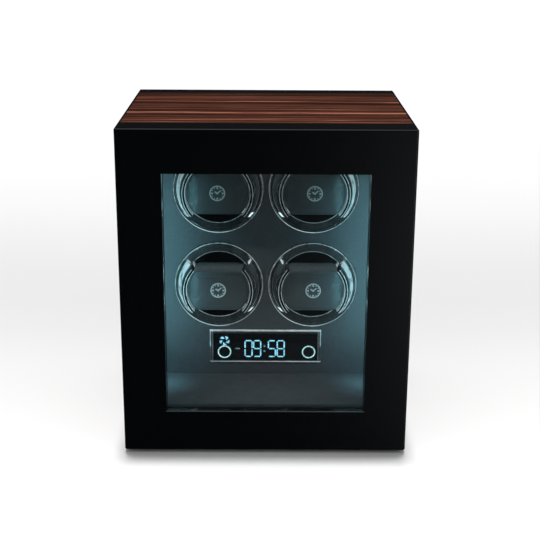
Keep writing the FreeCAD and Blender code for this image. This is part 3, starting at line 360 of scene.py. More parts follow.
def waxed_thread():
    thread = Finish("waxed_thread", Roughness=0.55, Sheen_Weight=0.2)
    twist = thread.noise(0.12 * MM, detail=1.0)
    thread.colour(twist, (0.02, 0.024, 0.028), (0.05, 0.058, 0.065))
    thread.bump(twist, 0.03 * MM, 0.6)
    return thread.material


# ---------------------------------------------------------------- clear and glossy parts


GLASS_TINT = (0.93, 0.96, 0.955)
ACRYLIC_TINT = (0.93, 0.97, 0.975)


def door_glass():
    """Clear float glass with a very slight grey green cast and a trace of wipe haze."""
    pane = Finish("door_glass", Transmission_Weight=1.0, IOR=1.5, Base_Color=GLASS_TINT)
    haze = pane.noise(40.0 * MM, pane.stretched(1.0, 1.0, 0.35), detail=4.0)
    pane.feed("Roughness", pane.spread(haze, 0.45, 0.8, 0.0, 0.006))
    pane.let_lamps_through(GLASS_TINT)
    return pane.material


RING_LOW, RING_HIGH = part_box("clear_ring_lower_right")
RING_RADIUS = 0.5 * (RING_HIGH.x - RING_LOW.x)
RING_AXIS = 0.5 * (RING_HIGH.x + RING_LOW.x)
LOWER_ROW = 0.5 * (RING_HIGH.z + RING_LOW.z)
UPPER_ROW = LOWER_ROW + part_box("clear_ring_upper_right")[0].z - RING_LOW.z
FLANGE_FRONT = 5.5 * MM
BORE_RADIUS = 32.5 * MM
BORE_FRONT = 8.5 * MM
EAR_LIP_RADII = (29.8 * MM, 32.3 * MM)
EAR_WALL = 38.5 * MM  # radius of the ears' outer wall
EAR_TOP_END = (math.sin(math.radians(38.5)), math.sin(math.radians(45.0)))
EAR_LOW_END = -math.sin(math.radians(33.0))


def clear_acrylic():
    """Moulded acrylic rings: clear, with polished edges. Their glints and the lamps' light in the ears are
    painted light, a glow from the surface, and the ears' side away from the lamps has painted shade.
    """
    # the emission colour is for painted light: glints and lamp light glowing from the acrylic
    clear = Finish("clear_acrylic", IOR=1.49, Emission_Color=(0.72, 0.93, 1.0))
    x, y, z = clear.axes()
    across = clear.math("SUBTRACT", clear.math("ABSOLUTE", x), RING_AXIS)
    upper = clear.math("GREATER_THAN", z, 0.5 * (LOWER_ROW + UPPER_ROW))
    row = clear.math("MULTIPLY_ADD", upper, UPPER_ROW - LOWER_ROW, LOWER_ROW)
    level = clear.math("SUBTRACT", z, row)
    squared = clear.math("MULTIPLY_ADD", across, across, clear.math("MULTIPLY", level, level))
    radius = clear.math("SQRT", squared)
    flow = clear.noise(5.0 * MM, clear.stretched(1.0, 0.5, 0.35))
    patches = clear.noise(9.0 * MM, detail=1.0)

    def before(depth):
        return clear.math("LESS_THAN", y, depth)

    def near(at, half):
        away = clear.math("ABSOLUTE", clear.math("SUBTRACT", radius, at))
        return clear.spread(away, 0.6 * half, half, 1.0, 0.0)

    def all_of(*masks, join="MULTIPLY"):
        whole = masks[0]
        for mask in masks[1:]:
            whole = clear.math(join, whole, mask)
        return whole

    def any_of(*masks):
        return all_of(*masks, join="MAXIMUM")

    # where: the ears, the lower half, and the edges that were polished
    ears = before(FLANGE_FRONT - 0.2 * MM)
    outward = clear.spread(across, 0.0, 14.0 * MM)
    inward = clear.math("SUBTRACT", 1.0, outward)
    below = clear.math("LESS_THAN", level, 0.0)
    rim = all_of(near(RING_RADIUS - 0.2 * MM, 0.55 * MM), before(FLANGE_FRONT + 0.8 * MM))
    behind = clear.math("SUBTRACT", 1.0, ears)
    bore = all_of(near(BORE_RADIUS, 0.45 * MM), before(BORE_FRONT + 0.5 * MM), behind)
    lip_edges = any_of(*(near(at, 0.42 * MM) for at in EAR_LIP_RADII))
    edge = any_of(rim, bore, all_of(lip_edges, before(RING_LOW.y + 0.45 * MM)))

    # painted glints: a glow on the edges, strongest on the lower left of the rim
    rightward = clear.math("MULTIPLY", across, clear.math("SIGN", x))
    low_left = all_of(clear.spread(level, -0.9 * RING_RADIUS, -0.4 * RING_RADIUS, 1.0, 0.0),
                      clear.spread(rightward, 0.0, 0.4 * RING_RADIUS, 1.0, 0.0))
    painted_glint = all_of(edge, clear.math("MULTIPLY_ADD", all_of(low_left, rim), 0.5, 0.07))

    # painted light: glowing blocks at the ears' ends, and a glow along the ears' walls, brightest on the side
    # toward the lamps
    climb = clear.math("DIVIDE", level, radius)
    top_end = all_of(clear.math("GREATER_THAN", climb, EAR_TOP_END[0]),
                     clear.math("LESS_THAN", climb, EAR_TOP_END[1]),
                     clear.math("GREATER_THAN", y, -4.0 * MM), before(FLANGE_FRONT + 0.2 * MM))
    low_end = all_of(clear.math("LESS_THAN", climb, EAR_LOW_END), ears)
    dimmer = clear.math("MULTIPLY_ADD", outward, -0.7, 1.0)
    ends = all_of(any_of(top_end, low_end), near(EAR_WALL, 2.2 * MM), dimmer)
    lamp_side = clear.spread(across, -10.0 * MM, 12.0 * MM, 0.07, 1.0)
    painted_caught_light = all_of(ears, lamp_side, near(EAR_WALL - 1.8 * MM, 2.4 * MM),
                    clear.spread(patches, 0.36, 0.48, 0.6, 1.0), clear.spread(flow, 0.3, 0.6, 0.75, 1.05))
    # glow is painted light: the acrylic is no lamp, yet glows with glints and the lamps' light
    glow = any_of(painted_glint, clear.math("MULTIPLY", painted_caught_light, 0.27),
                  all_of(ends, clear.math("MULTIPLY_ADD", below, 0.9, 0.35)))

    # how much is frosted, and painted shade: grey on the ears' side toward the box's middle, away from the
    # lamps
    flange = all_of(clear.spread(radius, BORE_RADIUS, BORE_RADIUS + 0.3 * MM),
                    clear.spread(flow, 0.3, 0.65, 0.4, 1.2), clear.math("MULTIPLY_ADD", below, -0.4, 1.0))
    frost = any_of(*(clear.math("MULTIPLY", mask, share)
                     for mask, share in ((edge, 0.3), (painted_caught_light, 0.45), (ends, 0.6), (flange, 0.024))))
    painted_shade = all_of(ears, inward, clear.spread(y, RING_LOW.y, FLANGE_FRONT, 0.3, 1.0))
    clear.feed("Transmission_Weight", clear.math("SUBTRACT", 1.0, frost))
    # painted shade: the grey tint on the ears' inner side
    clear.colour(painted_shade, ACRYLIC_TINT, (0.30, 0.38, 0.39))
    polish = clear.vary(flow, 0.01, 0.05)
    clear.feed("Roughness", clear.math("MULTIPLY_ADD", edge, 0.25, polish))
    # the painted glow: glints, lamp light in the ears and lit end blocks
    clear.feed("Emission_Strength", glow)
    clear.bump(flow, 0.05 * MM, 0.3)
    clear.let_lamps_through(ACRYLIC_TINT)
    return clear.material


def gloss_black():
    """Injection moulded gloss black plastic."""
    shell = Finish("gloss_black", Specular_IOR_Level=0.5)
    flow = shell.noise(12.0 * MM, detail=3.0)
    shell.colour(flow, (0.006, 0.007, 0.008), (0.011, 0.012, 0.014))
    shell.rough(flow, 0.10, 0.18)
    shell.bump(flow, 0.04 * MM, 0.2)
    return shell.material


def display_glass():
    """The display's smoked cover: nearly black, polished, with a little dust in the surface."""
    cover = Finish("display_glass", Coat_Weight=0.5, Coat_Roughness=0.02)
    dust = cover.noise(0.3 * MM, detail=1.0)
    speck = cover.spread(dust, 0.74, 0.8, 0.0, 0.3)
    cover.colour(speck, (0.004, 0.0042, 0.005), (0.05, 0.05, 0.05))
    cover.rough(cover.noise(15.0 * MM), 0.05, 0.10)
    return cover.material


LAMP_TINT = (0.35, 0.84, 0.97)


def milky_plastic():
    """The lamps' frosted cover. It glows, brightest in front of each lamp behind it."""
    cover = Finish("milky_plastic", Base_Color=(0.85, 0.95, 1.0), Roughness=0.4, Emission_Color=LAMP_TINT)
    z = cover.axes()[2]
    lamp_pitch = 9.0 * MM
    wave = cover.math("SINE", cover.math("MULTIPLY", z, 2.0 * math.pi / lamp_pitch))
    mottled = cover.math("ADD", wave, cover.noise(3.0 * MM))
    cover.feed("Emission_Strength", cover.spread(mottled, -1.0, 2.0, 1.6, 2.6))
    return cover.material


def lit_segment(name, tint, strength):
    """Light from the display's segments, a little uneven over each one."""
    segment = Finish(name, Base_Color=(0.02, 0.03, 0.035), Roughness=0.3, Emission_Color=tint)
    uneven = segment.noise(1.4 * MM)
    segment.feed("Emission_Strength", segment.spread(uneven, 0.35, 0.65, 0.55 * strength, 1.2 * strength))
    return segment.material


# ---------------------------------------------------------------- metals and electrics


def plated(name, tint, low, high, streak=(1.0, 1.0, 1.0), metallic=1.0):
    """Polished or brushed metal: streak stretches its fine scratches along an axis."""
    metal = Finish(name, Metallic=metallic)
    scratch = metal.noise(0.35 * MM, metal.stretched(*streak))
    patch = metal.noise(6.0 * MM, detail=3.0)
    darker = tuple(0.82 * channel for channel in tint)
    metal.colour(patch, darker, tint)
    metal.feed("Roughness", metal.math("ADD", metal.vary(patch, low, 0.5 * (low + high)),
                                       metal.spread(scratch, 0.4, 0.7, 0.0, 0.5 * (high - low))))
    metal.bump(scratch, 0.004 * MM, 0.5)
    return metal.material


def bezel_metal():
    """Dark chrome, with painted highlights: bright colour in lines along its long arrises."""
    low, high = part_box("display_bezel")
    middle = 0.5 * (low.z + high.z)
    metal = Finish("bezel_chrome", Metallic=0.35)
    x, _, z = metal.axes()
    aside = metal.math("ABSOLUTE", x)

    def line_at(value, at, inner, outer, strength=1.0):
        away = metal.math("ABSOLUTE", metal.math("SUBTRACT", value, at))
        return metal.spread(away, inner, outer, strength, 0.0)

    # painted highlights: bright lines along the top, near the foot, at both ends and just inside them, patchy
    # along their length
    head = metal.spread(z, high.z - 1.3 * MM, high.z - 1.0 * MM)
    foot = line_at(z, low.z + 2.2 * MM, 0.4 * MM, 0.7 * MM)
    posts = metal.math("MULTIPLY", metal.spread(aside, high.x - 1.3 * MM, high.x - 1.0 * MM),
                       metal.spread(z, middle - 1.0 * MM, middle + 2.0 * MM, 0.12, 0.9))
    inside = line_at(aside, high.x - 2.7 * MM, 0.3 * MM, 0.5 * MM, 0.22)
    edge = metal.math("MAXIMUM", metal.math("MAXIMUM", head, foot), metal.math("MAXIMUM", posts, inside))
    patch = metal.noise(9.0 * MM, metal.stretched(0.3, 1.0, 1.0))
    edge = metal.math("MULTIPLY", edge, metal.spread(patch, 0.35, 0.6, 0.55, 1.0))
    brushed = metal.noise(0.35 * MM, metal.stretched(0.05, 1.0, 1.0))
    # dark chrome, with near white painted highlights where the lines are
    metal.colour(edge, (0.030, 0.034, 0.038), (0.80, 0.82, 0.84))
    metal.rough(brushed, 0.2, 0.34)
    return metal.material


def zinc_can():
    """Gearmotor housings: zinc plated steel, with turning marks round the shaft."""
    metal = Finish("gearmotor_metal", Metallic=1.0)
    rings = metal.noise(0.5 * MM, metal.stretched(0.03, 1.0, 0.03))
    patch = metal.noise(5.0 * MM, detail=3.0)
    metal.colour(patch, (0.36, 0.37, 0.38), (0.52, 0.53, 0.54))
    metal.rough(rings, 0.25, 0.42)
    metal.bump(rings, 0.01 * MM, 0.6)
    return metal.material


def circuit_board(name, axis, sheet_top):
    """Green solder mask with traces and vias. What stands above sheet_top on the axis is dark components."""
    board = Finish(name)
    height = board.axes()[axis]
    track = board.cells(3.2 * MM, feature="DISTANCE_TO_EDGE")
    trace = board.spread(track, 0.03, 0.05, 1.0, 0.0)
    via = board.spread(board.cells(1.9 * MM), 0.12, 0.16, 1.0, 0.0)
    mask = board.mix(trace, (0.006, 0.055, 0.022), (0.018, 0.13, 0.05))
    mask = board.mix(via, mask, (0.55, 0.42, 0.2))
    components = board.mix(board.noise(8.0 * MM), (0.012, 0.012, 0.014), (0.05, 0.05, 0.055))
    stands = board.spread(height, sheet_top, sheet_top + 0.05 * MM)
    board.colour(stands, mask, components)
    board.rough(board.noise(2.0 * MM), 0.3, 0.5)
    board.bump(trace, 0.03 * MM, 0.6)
    return board.material


def textured_plastic(name, tint, roughness, grain, depth):
    """Spark eroded plastic or rubber."""
    plastic = Finish(name)
    fine = plastic.noise(grain, roughness=0.6)
    patch = plastic.noise(8.0 * MM)
    plastic.colour(patch, tint, tuple(1.6 * channel for channel in tint))
    plastic.rough(patch, roughness - 0.06, roughness + 0.06)
    plastic.bump(fine, depth, 0.6)
    return plastic.material


def lamp_tape():
    """White tape with yellow phosphor lamps on it."""
    tape = Finish("lamp_tape", Roughness=0.45)
    x = tape.math("ABSOLUTE", tape.axes()[0])
    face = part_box("led_strips")[1].x
    lamp_height = 0.5 * MM
    lamp = tape.spread(x, face - lamp_height, face - lamp_height - 0.05 * MM)
    base = tape.mix(tape.noise(2.0 * MM), (0.72, 0.74, 0.72), (0.85, 0.86, 0.83))
    tape.colour(lamp, base, (0.85, 0.72, 0.2))
    tape.bump(tape.noise(0.5 * MM), 0.02 * MM, 0.4)
    return tape.material


def dress_nodes():
    """Gives every CAD node the finish that its slot names."""
    finishes = {
        "veneer": macassar_veneer(),
        "black_lacquer": black_lacquer(),
        "black_board": black_board(),
        "leatherette": leatherette(),
        "cushion_leather": cushion_leather(),
        "door_glass": door_glass(),
        "clear_acrylic": clear_acrylic(),
        "gloss_black": gloss_black(),
        "display_glass": display_glass(),
        "milky_plastic": milky_plastic(),
        "lamp_tape": lamp_tape(),
        "gearmotor_metal": zinc_can(),
        "nickel": plated("nickel", (0.78, 0.75, 0.71), 0.10, 0.24),
        "bezel_chrome": bezel_metal(),
        "jack_nickel": plated("jack_nickel", (0.75, 0.72, 0.68), 0.15, 0.30),
        "steel": plated("steel", (0.58, 0.59, 0.61), 0.25, 0.45, (0.05, 1.0, 1.0)),
        "black_steel": plated("black_steel", (0.06, 0.06, 0.065), 0.25, 0.45),
        "aluminium": plated("aluminium", (0.74, 0.75, 0.77), 0.25, 0.40, (1.0, 1.0, 0.03)),
        "black_plastic": textured_plastic("black_plastic", (0.013, 0.013, 0.015), 0.45, 0.3 * MM, 0.02 * MM),
        "rubber": textured_plastic("rubber", (0.016, 0.016, 0.016), 0.75, 0.4 * MM, 0.05 * MM),
    }
    board_thickness = 1.6 * MM
    control_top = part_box("control_board")[0].z + board_thickness
    display_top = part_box("display_board")[0].y + board_thickness
    own = {
        "control_board": circuit_board("control_circuit", 2, control_top),
        "display_board": circuit_board("display_circuit", 1, display_top),
    }
    for name, item in frame["nodes"].items():
        for place in item.material_slots:
            place.material = own.get(name) or finishes[place.material.name]
    return finishes


# ---------------------------------------------------------------- mesh helpers


def new_object(name, mesh, finish=None):
    item = bpy.data.objects.new(name, mesh)
    SCENE.collection.objects.link(item)
    if finish:
        mesh.materials.clear()
        mesh.materials.append(finish)
    return item


def mesh_from(name, build, *inputs, **settings):
    """A mesh made by build."""
    bm = bmesh.new()
    build(bm, *inputs, **settings)
    bmesh.ops.recalc_face_normals(bm, faces=bm.faces)
    mesh = bpy.data.meshes.new(name)
    bm.to_mesh(mesh)
    bm.free()
    return mesh


def smooth(mesh):
    mesh.polygons.foreach_set("use_smooth", [True] * len(mesh.polygons))


def angles(steps):
    return [2.0 * math.pi * i / steps for i in range(steps)]


def plate(bm, outline, back, front):
    """A flat plate in the XZ plane, outline given as (x, z) points, from depth back to depth front."""
    near = [bm.verts.new((x, front, z)) for x, z in outline]
    far = [bm.verts.new((x, back, z)) for x, z in outline]
    bm.faces.new(near)
    bm.faces.new(reversed(far))
    for i in range(len(outline)):
        j = (i + 1) % len(outline)
        bm.faces.new((near[i], far[i], far[j], near[j]))


def ring_plate(bm, centre, outer, inner, back, front, steps=64):
    """A flat ring in the XZ plane."""
    section = ((outer, front), (inner, front), (inner, back), (outer, back))
    rows = []
    for turn in angles(steps):
        x, z = math.cos(turn), math.sin(turn)
        rows.append([bm.verts.new((centre[0] + radius * x, depth, centre[1] + radius * z))
                     for radius, depth in section])
    for this, following in zip(rows, rows[1:] + rows[:1]):
        for k in range(4):
            bm.faces.new((this[k], following[k], following[(k + 1) % 4], this[(k + 1) % 4]))


# ---------------------------------------------------------------- cushions

CUSHION_LOW, CUSHION_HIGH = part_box("cushion_upper_left")
CUSHION_RADIUS = 0.5 * (CUSHION_HIGH.x - CUSHION_LOW.x)
CUSHION_HALF_HEIGHT = 0.5 * (CUSHION_HIGH.z - CUSHION_LOW.z)
CUSHION_DEPTH = CUSHION_HIGH.y - CUSHION_LOW.y
CUSHION_SLACK = 0.25 * MM  # the pad is cut smaller than its space, and swells to it
CUSHION_CROWN = 0.9 * MM
BLANK_DEPTH = CUSHION_DEPTH - 2.0 * CUSHION_CROWN
CUSHION_EDGE = 1.0 * MM
CUSHION_END_ROLL = 4.5 * MM
CUSHION_CORNER = 22.0  # a higher power gives tighter corners in its outline
SEAM_INSET = 4.2 * MM
SEAM_DEPTH = 0.38 * MM
SEAM_WIDTH = 0.5 * MM
SEAM_HELD = 0.7 * MM  # how far on each side of a seam the cloth is held
SIM_SCALE = 10.0  # cloth behaves at this size
SIM_VOXEL = 1.0 * MM
SIM_FRAMES = 20
LEATHER_CLOTH = {
    "quality": 6,
    "use_pressure": True,
    "uniform_pressure_force": 1.5,
    "tension_stiffness": 25.0,
    "compression_stiffness": 25.0,
    "bending_stiffness": 10.0,
    "vertex_group_mass": "seams",
}
TOWARD_BACK = Vector((0.0, 1.0, 0.0))


def cushion_reach(turn, inset=0.0):
    """How far the cushion's outline is from its axis: a circle cut flat above and below."""
    radius = CUSHION_RADIUS - CUSHION_SLACK - inset
    height = CUSHION_HALF_HEIGHT - CUSHION_SLACK - inset
    flat = height / max(abs(math.sin(turn)), 1e-6)
    return (radius ** -CUSHION_CORNER + flat ** -CUSHION_CORNER) ** (-1.0 / CUSHION_CORNER)


def edge_round(turn):
    """How far the front and back edges are rounded: tight above and below, easier at the two ends."""
    return CUSHION_EDGE + CUSHION_END_ROLL * math.cos(turn) ** 6


def cushion_blank(bm):
    """The cushion before it is filled, on its own axis, with its front face at depth 0."""
    turns = angles(96)
    front = [[(share * cushion_reach(t), 0.0, t) for t in turns] for share in (0.35, 0.7)]
    for bend in (math.radians(15.0 * i) for i in range(7)):
        inset, at = 1.0 - math.sin(bend), 1.0 - math.cos(bend)
        front.append([(cushion_reach(t, edge_round(t) * inset), edge_round(t) * at, t) for t in turns])
    middle = []
    for share in (0.25, 0.5, 0.75):
        middle.append([(cushion_reach(t), edge_round(t) + share * (BLANK_DEPTH - 2.0 * edge_round(t)), t)
                       for t in turns])
    back = [[(reach, BLANK_DEPTH - at, t) for reach, at, t in ring] for ring in reversed(front)]
    made = []
    for ring in front + middle + back:
        made.append([bm.verts.new(Vector((r * math.cos(t), at, r * math.sin(t))) * SIM_SCALE)
                     for r, at, t in ring])
    for this, following in zip(made, made[1:]):
        for i in range(len(turns)):
            j = (i + 1) % len(turns)
            bm.faces.new((this[i], this[j], following[j], following[i]))
    bm.faces.new(made[0])
    bm.faces.new(made[-1])


def evaluated(item):
    """A new mesh with the object's modifiers applied."""
    bpy.context.view_layer.update()
    return bpy.data.meshes.new_from_object(item.evaluated_get(bpy.context.evaluated_depsgraph_get()))


def points_of(mesh):
    values = np.empty(len(mesh.vertices) * 3)
    mesh.vertices.foreach_get("co", values)
    return values.reshape(-1, 3)


def set_points(mesh, points):
    mesh.vertices.foreach_set("co", points.ravel())
    mesh.update()


def fill_cushion(blank):
    """Cloth, held along its two seams and blown up a little from inside."""
    pad = new_object("cushion_blank", blank)
    remesh = pad.modifiers.new("remesh", "REMESH")
    remesh.mode = "VOXEL"
    remesh.voxel_size = SIM_VOXEL * SIM_SCALE
    cloth_mesh = evaluated(pad)
    pad.modifiers.clear()
    pad.data = cloth_mesh
    start = points_of(cloth_mesh)
    depth = BLANK_DEPTH * SIM_SCALE
    seam = SEAM_INSET * SIM_SCALE
    off_seam = np.minimum(abs(start[:, 1] - seam), abs(start[:, 1] - (depth - seam)))
    held = np.nonzero(off_seam < SEAM_HELD * SIM_SCALE)[0]
    pad.vertex_groups.new(name="seams").add([int(i) for i in held], 1.0, "REPLACE")
    cloth = pad.modifiers.new("cloth", "CLOTH")
    for name, value in LEATHER_CLOTH.items():
        setattr(cloth.settings, name, value)
    cloth.settings.effector_weights.gravity = 0.0
    cloth.point_cache.frame_start = 1
    cloth.point_cache.frame_end = SIM_FRAMES
    for step in range(1, SIM_FRAMES + 1):
        SCENE.frame_set(step)
    filled = evaluated(pad)
    SCENE.frame_set(1)
    moved = points_of(filled) - start
    length = np.linalg.norm(moved, axis=1, keepdims=True)
    cap = 2.0 * CUSHION_CROWN * SIM_SCALE
    swollen = start + moved * np.minimum(1.0, cap / np.maximum(length, 1e-9))
    set_points(filled, swollen / SIM_SCALE)
    bpy.data.objects.remove(pad)
    return filled


def tidy_cushion(filled):
    """Subdivides the filled pad, scales it to the CAD cushion's depth, sinks its seams and keeps it in its
    space."""
    pad = new_object("cushion_filled", filled)
    pad.modifiers.new("smooth", "SUBSURF").levels = 1
    mesh = evaluated(pad)
    bpy.data.objects.remove(pad)
    points = points_of(mesh)
    points[:, 1] -= 0.5 * (points[:, 1].min() + points[:, 1].max())
    half = 0.5 * CUSHION_DEPTH
    points[:, 1] *= half / abs(points[:, 1]).max()
    turn = np.arctan2(points[:, 2], points[:, 0])
    radius = np.hypot(points[:, 0], points[:, 2])
    seam_at = half - CUSHION_CROWN - SEAM_INSET
    off_seam = np.minimum(abs(points[:, 1] - seam_at), abs(points[:, 1] + seam_at))
    band = np.clip((radius - 0.6 * CUSHION_HALF_HEIGHT) / (0.2 * CUSHION_HALF_HEIGHT), 0.0, 1.0)
    sunk = SEAM_DEPTH * np.exp(-((off_seam / SEAM_WIDTH) ** 2)) * band
    clearance = 0.1 * MM
    limit = np.array([cushion_reach(t, clearance - CUSHION_SLACK) for t in turn])
    reach = np.minimum(radius, limit) - sunk
    points[:, 0] = reach * np.cos(turn)
    points[:, 2] = reach * np.sin(turn)
    set_points(mesh, points)
    smooth(mesh)
    return mesh


STITCH_INSET = 5.2 * MM
STITCH_PITCH = 2.6 * MM
STITCH_SIZE = (1.9 * MM, 0.42 * MM, 0.42 * MM, 1.0)


def add_stitches(bm, tree):
    """A row of stitches round the front face."""
    steps = 720
    outline = []
    for t in angles(steps):
        reach = cushion_reach(t, STITCH_INSET)
        outline.append(Vector((reach * math.cos(t), 0.0, reach * math.sin(t))))
    onward = [outline[(i + 1) % steps] - outline[i] for i in range(steps)]
    whole = sum(step.length for step in onward)
    spacing = whole / int(whole / STITCH_PITCH)
    travelled = 0.0
    following = 0.0
    for place, step in zip(outline, onward):
        if travelled >= following:
            along = step.normalized()
            hit, normal = tree.ray_cast(place - CUSHION_DEPTH * TOWARD_BACK, TOWARD_BACK)[:2]
            across = along.cross(normal)
            turned = Matrix((along, across, along.cross(across))).transposed().to_4x4()
            where = Matrix.Translation(hit) @ turned @ Matrix.Diagonal(STITCH_SIZE)
            bmesh.ops.create_icosphere(bm, subdivisions=2, radius=0.5, matrix=where)
            following += spacing
        travelled += step.length


EMBLEM_RADIUS = 7.2 * MM
EMBLEM_THICKNESS = 0.16 * MM
EMBLEM_LIFT = 1.0 * MM
EMBLEM_HANDS = ((150.0, 0.40, 0.085), (40.0, 0.56, 0.07))  # degrees, length and half width, of the radius


def emblem_shapes(bm):
    """A plain clock face: a ring, twelve hour marks, two hands and a boss."""
    radius = EMBLEM_RADIUS
    ring_plate(bm, (0.0, 0.0), radius, 0.85 * radius, 0.0, -EMBLEM_THICKNESS, steps=72)
    for hour in range(12):
        start, half = (0.56, 0.10) if hour % 3 == 0 else (0.68, 0.06)
        bar(bm, math.radians(30.0 * hour), start * radius, 0.80 * radius, half * radius)
    for degrees, end, half in EMBLEM_HANDS:
        bar(bm, math.radians(degrees), -0.12 * radius, end * radius, half * radius)
    ring_plate(bm, (0.0, 0.0), 0.13 * radius, 0.02 * radius, 0.0, -1.3 * EMBLEM_THICKNESS, steps=24)


def bar(bm, turn, start, end, half):
    """A straight bar along a radius."""
    along = Vector((math.cos(turn), math.sin(turn)))
    across = Vector((-along.y, along.x)) * half
    steps = 6
    one_side = [along * (start + (end - start) * i / steps) + across for i in range(steps + 1)]
    other_side = [along * (end + (start - end) * i / steps) - across for i in range(steps + 1)]
    near = [bm.verts.new((p.x, -EMBLEM_THICKNESS, p.y)) for p in one_side + other_side]
    far = [bm.verts.new((p.x, 0.0, p.y)) for p in one_side + other_side]
    count = len(near)
    for i in range(count):
        j = (i + 1) % count
        bm.faces.new((near[i], far[i], far[j], near[j]))
    for i in range(steps):
        bm.faces.new((near[i], near[i + 1], near[count - 2 - i], near[count - 1 - i]))
        bm.faces.new((far[i], far[count - 1 - i], far[count - 2 - i], far[i + 1]))


def lay_on(mesh, tree):
    """Raises a flat mesh a little, and moves its points onto the cushion's face, each by its own distance."""
    for vertex in mesh.vertices:
        vertex.co.z += EMBLEM_LIFT
        start = Vector((vertex.co.x, -CUSHION_DEPTH, vertex.co.z))
        hit = tree.ray_cast(start, TOWARD_BACK)[0]
        vertex.co.y += hit.y + 0.25 * EMBLEM_THICKNESS


def make_cushions(finishes):
    cover = tidy_cushion(fill_cushion(mesh_from("cushion_blank", cushion_blank)))
    bm = bmesh.new()
    bm.from_mesh(cover)
    tree = BVHTree.FromBMesh(bm)
    bm.free()
    stitches = mesh_from("cushion_stitches", add_stitches, tree)
    smooth(stitches)
    thread = waxed_thread()
    emblem = mesh_from("cushion_emblem", emblem_shapes)
    lay_on(emblem, tree)
    foil = plated("silver_foil", (0.37, 0.48, 0.48), 0.4, 0.55, metallic=0.2)
    for where in TURNTABLES:
        low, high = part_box("cushion_" + where)
        centre = 0.5 * (low + high)
        body = "cushion_" + where
        pad = new_object("leather_cushion_" + where, cover, finishes["cushion_leather"])
        sewn = new_object("cushion_stitching_" + where, stitches, thread)
        badge = new_object("cushion_emblem_" + where, emblem, foil)
        for piece, slot in ((pad, "cushion_leather"), (sewn, "cushion_leather"), (badge, "bezel_chrome")):
            piece.location = centre
            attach(piece, body)
        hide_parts("cushion_" + where)


# ---------------------------------------------------------------- display

DISPLAY_LOW, DISPLAY_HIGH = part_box("display_glass")
DISPLAY_CENTRE = 0.5 * (DISPLAY_LOW + DISPLAY_HIGH)
GLYPH_BACK = DISPLAY_LOW.y + 0.05 * MM
GLYPH_FRONT = DISPLAY_LOW.y - 0.06 * MM
DIGIT_WIDTH = 8.0 * MM
DIGIT_HEIGHT = 17.6 * MM
DIGIT_STROKE = 1.25 * MM
DIGIT_GAP = 0.45 * MM
DIGIT_SEGMENTS = {"0": "abcdef", "5": "acdfg", "8": "abcdefg", "9": "abcdfg"}
CLOCK_TEXT = (("0", -16.3 * MM), ("9", -7.9 * MM), ("5", 6.3 * MM), ("8", 14.8 * MM))
CLOCK_HEIGHT = -2.0 * MM
BUTTON_RADIUS = 6.5 * MM
BUTTON_LINE = 1.15 * MM
BUTTON_HEIGHT = -5.4 * MM
BUTTON_LEFT = -39.6 * MM
BUTTON_RIGHT = 41.9 * MM
DOT_RADIUS = 0.95 * MM
DOT_PLACE = -0.9 * MM
DOT_SPACING = 5.2 * MM
DASH_ENDS = (-29.1 * MM, -24.6 * MM)
DASH_HALF = 0.6 * MM
FAN_HEIGHT = 6.0 * MM
FAN_RADIUS = 4.8 * MM


def segment(bm, start, end):
    """One lit bar of a digit, pointed at both ends."""
    start, end = Vector(start), Vector(end)
    along = (end - start).normalized()
    across = Vector((-along.y, along.x)) * 0.5 * DIGIT_STROKE
    tip, shoulder = along * DIGIT_GAP, along * (DIGIT_GAP + 0.5 * DIGIT_STROKE)
    plate(bm, (start + tip, start + shoulder + across, end - shoulder + across,
               end - tip, end - shoulder - across, start + shoulder - across), GLYPH_BACK, GLYPH_FRONT)


def digit(bm, figure, centre):
    half_width = 0.5 * (DIGIT_WIDTH - DIGIT_STROKE)
    half_height = 0.5 * (DIGIT_HEIGHT - DIGIT_STROKE)
    corners = {}
    for side, x in (("left", -half_width), ("right", half_width)):
        for level, z in (("top", half_height), ("middle", 0.0), ("bottom", -half_height)):
            corners[side, level] = (centre[0] + x, centre[1] + z)
    ends = {
        "a": (("left", "top"), ("right", "top")),
        "b": (("right", "top"), ("right", "middle")),
        "c": (("right", "middle"), ("right", "bottom")),
        "d": (("left", "bottom"), ("right", "bottom")),
        "e": (("left", "middle"), ("left", "bottom")),
        "f": (("left", "top"), ("left", "middle")),
        "g": (("left", "middle"), ("right", "middle")),
    }
    for name in DIGIT_SEGMENTS[figure]:
        segment(bm, corners[ends[name][0]], corners[ends[name][1]])


def clock_figures(bm):
    level = DISPLAY_CENTRE.z + CLOCK_HEIGHT
    for figure, x in CLOCK_TEXT:
        digit(bm, figure, (x, level))


def clock_dots(bm):
    """The colon, and the dash before the time."""
    level = DISPLAY_CENTRE.z + CLOCK_HEIGHT
    for middle in (level + 0.5 * DOT_SPACING, level - 0.5 * DOT_SPACING):
        dot = [(DOT_PLACE + DOT_RADIUS * math.cos(t), middle + DOT_RADIUS * math.sin(t)) for t in angles(16)]
        plate(bm, dot, GLYPH_BACK, GLYPH_FRONT)
    left, right = DASH_ENDS
    low, high = level - DASH_HALF, level + DASH_HALF
    plate(bm, ((left, low), (right, low), (right, high), (left, high)), GLYPH_BACK, GLYPH_FRONT)


def touch_rings(bm):
    level = DISPLAY_CENTRE.z + BUTTON_HEIGHT
    for x in (BUTTON_LEFT, BUTTON_RIGHT):
        ring_plate(bm, (x, level), BUTTON_RADIUS, BUTTON_RADIUS - BUTTON_LINE, GLYPH_BACK, GLYPH_FRONT)


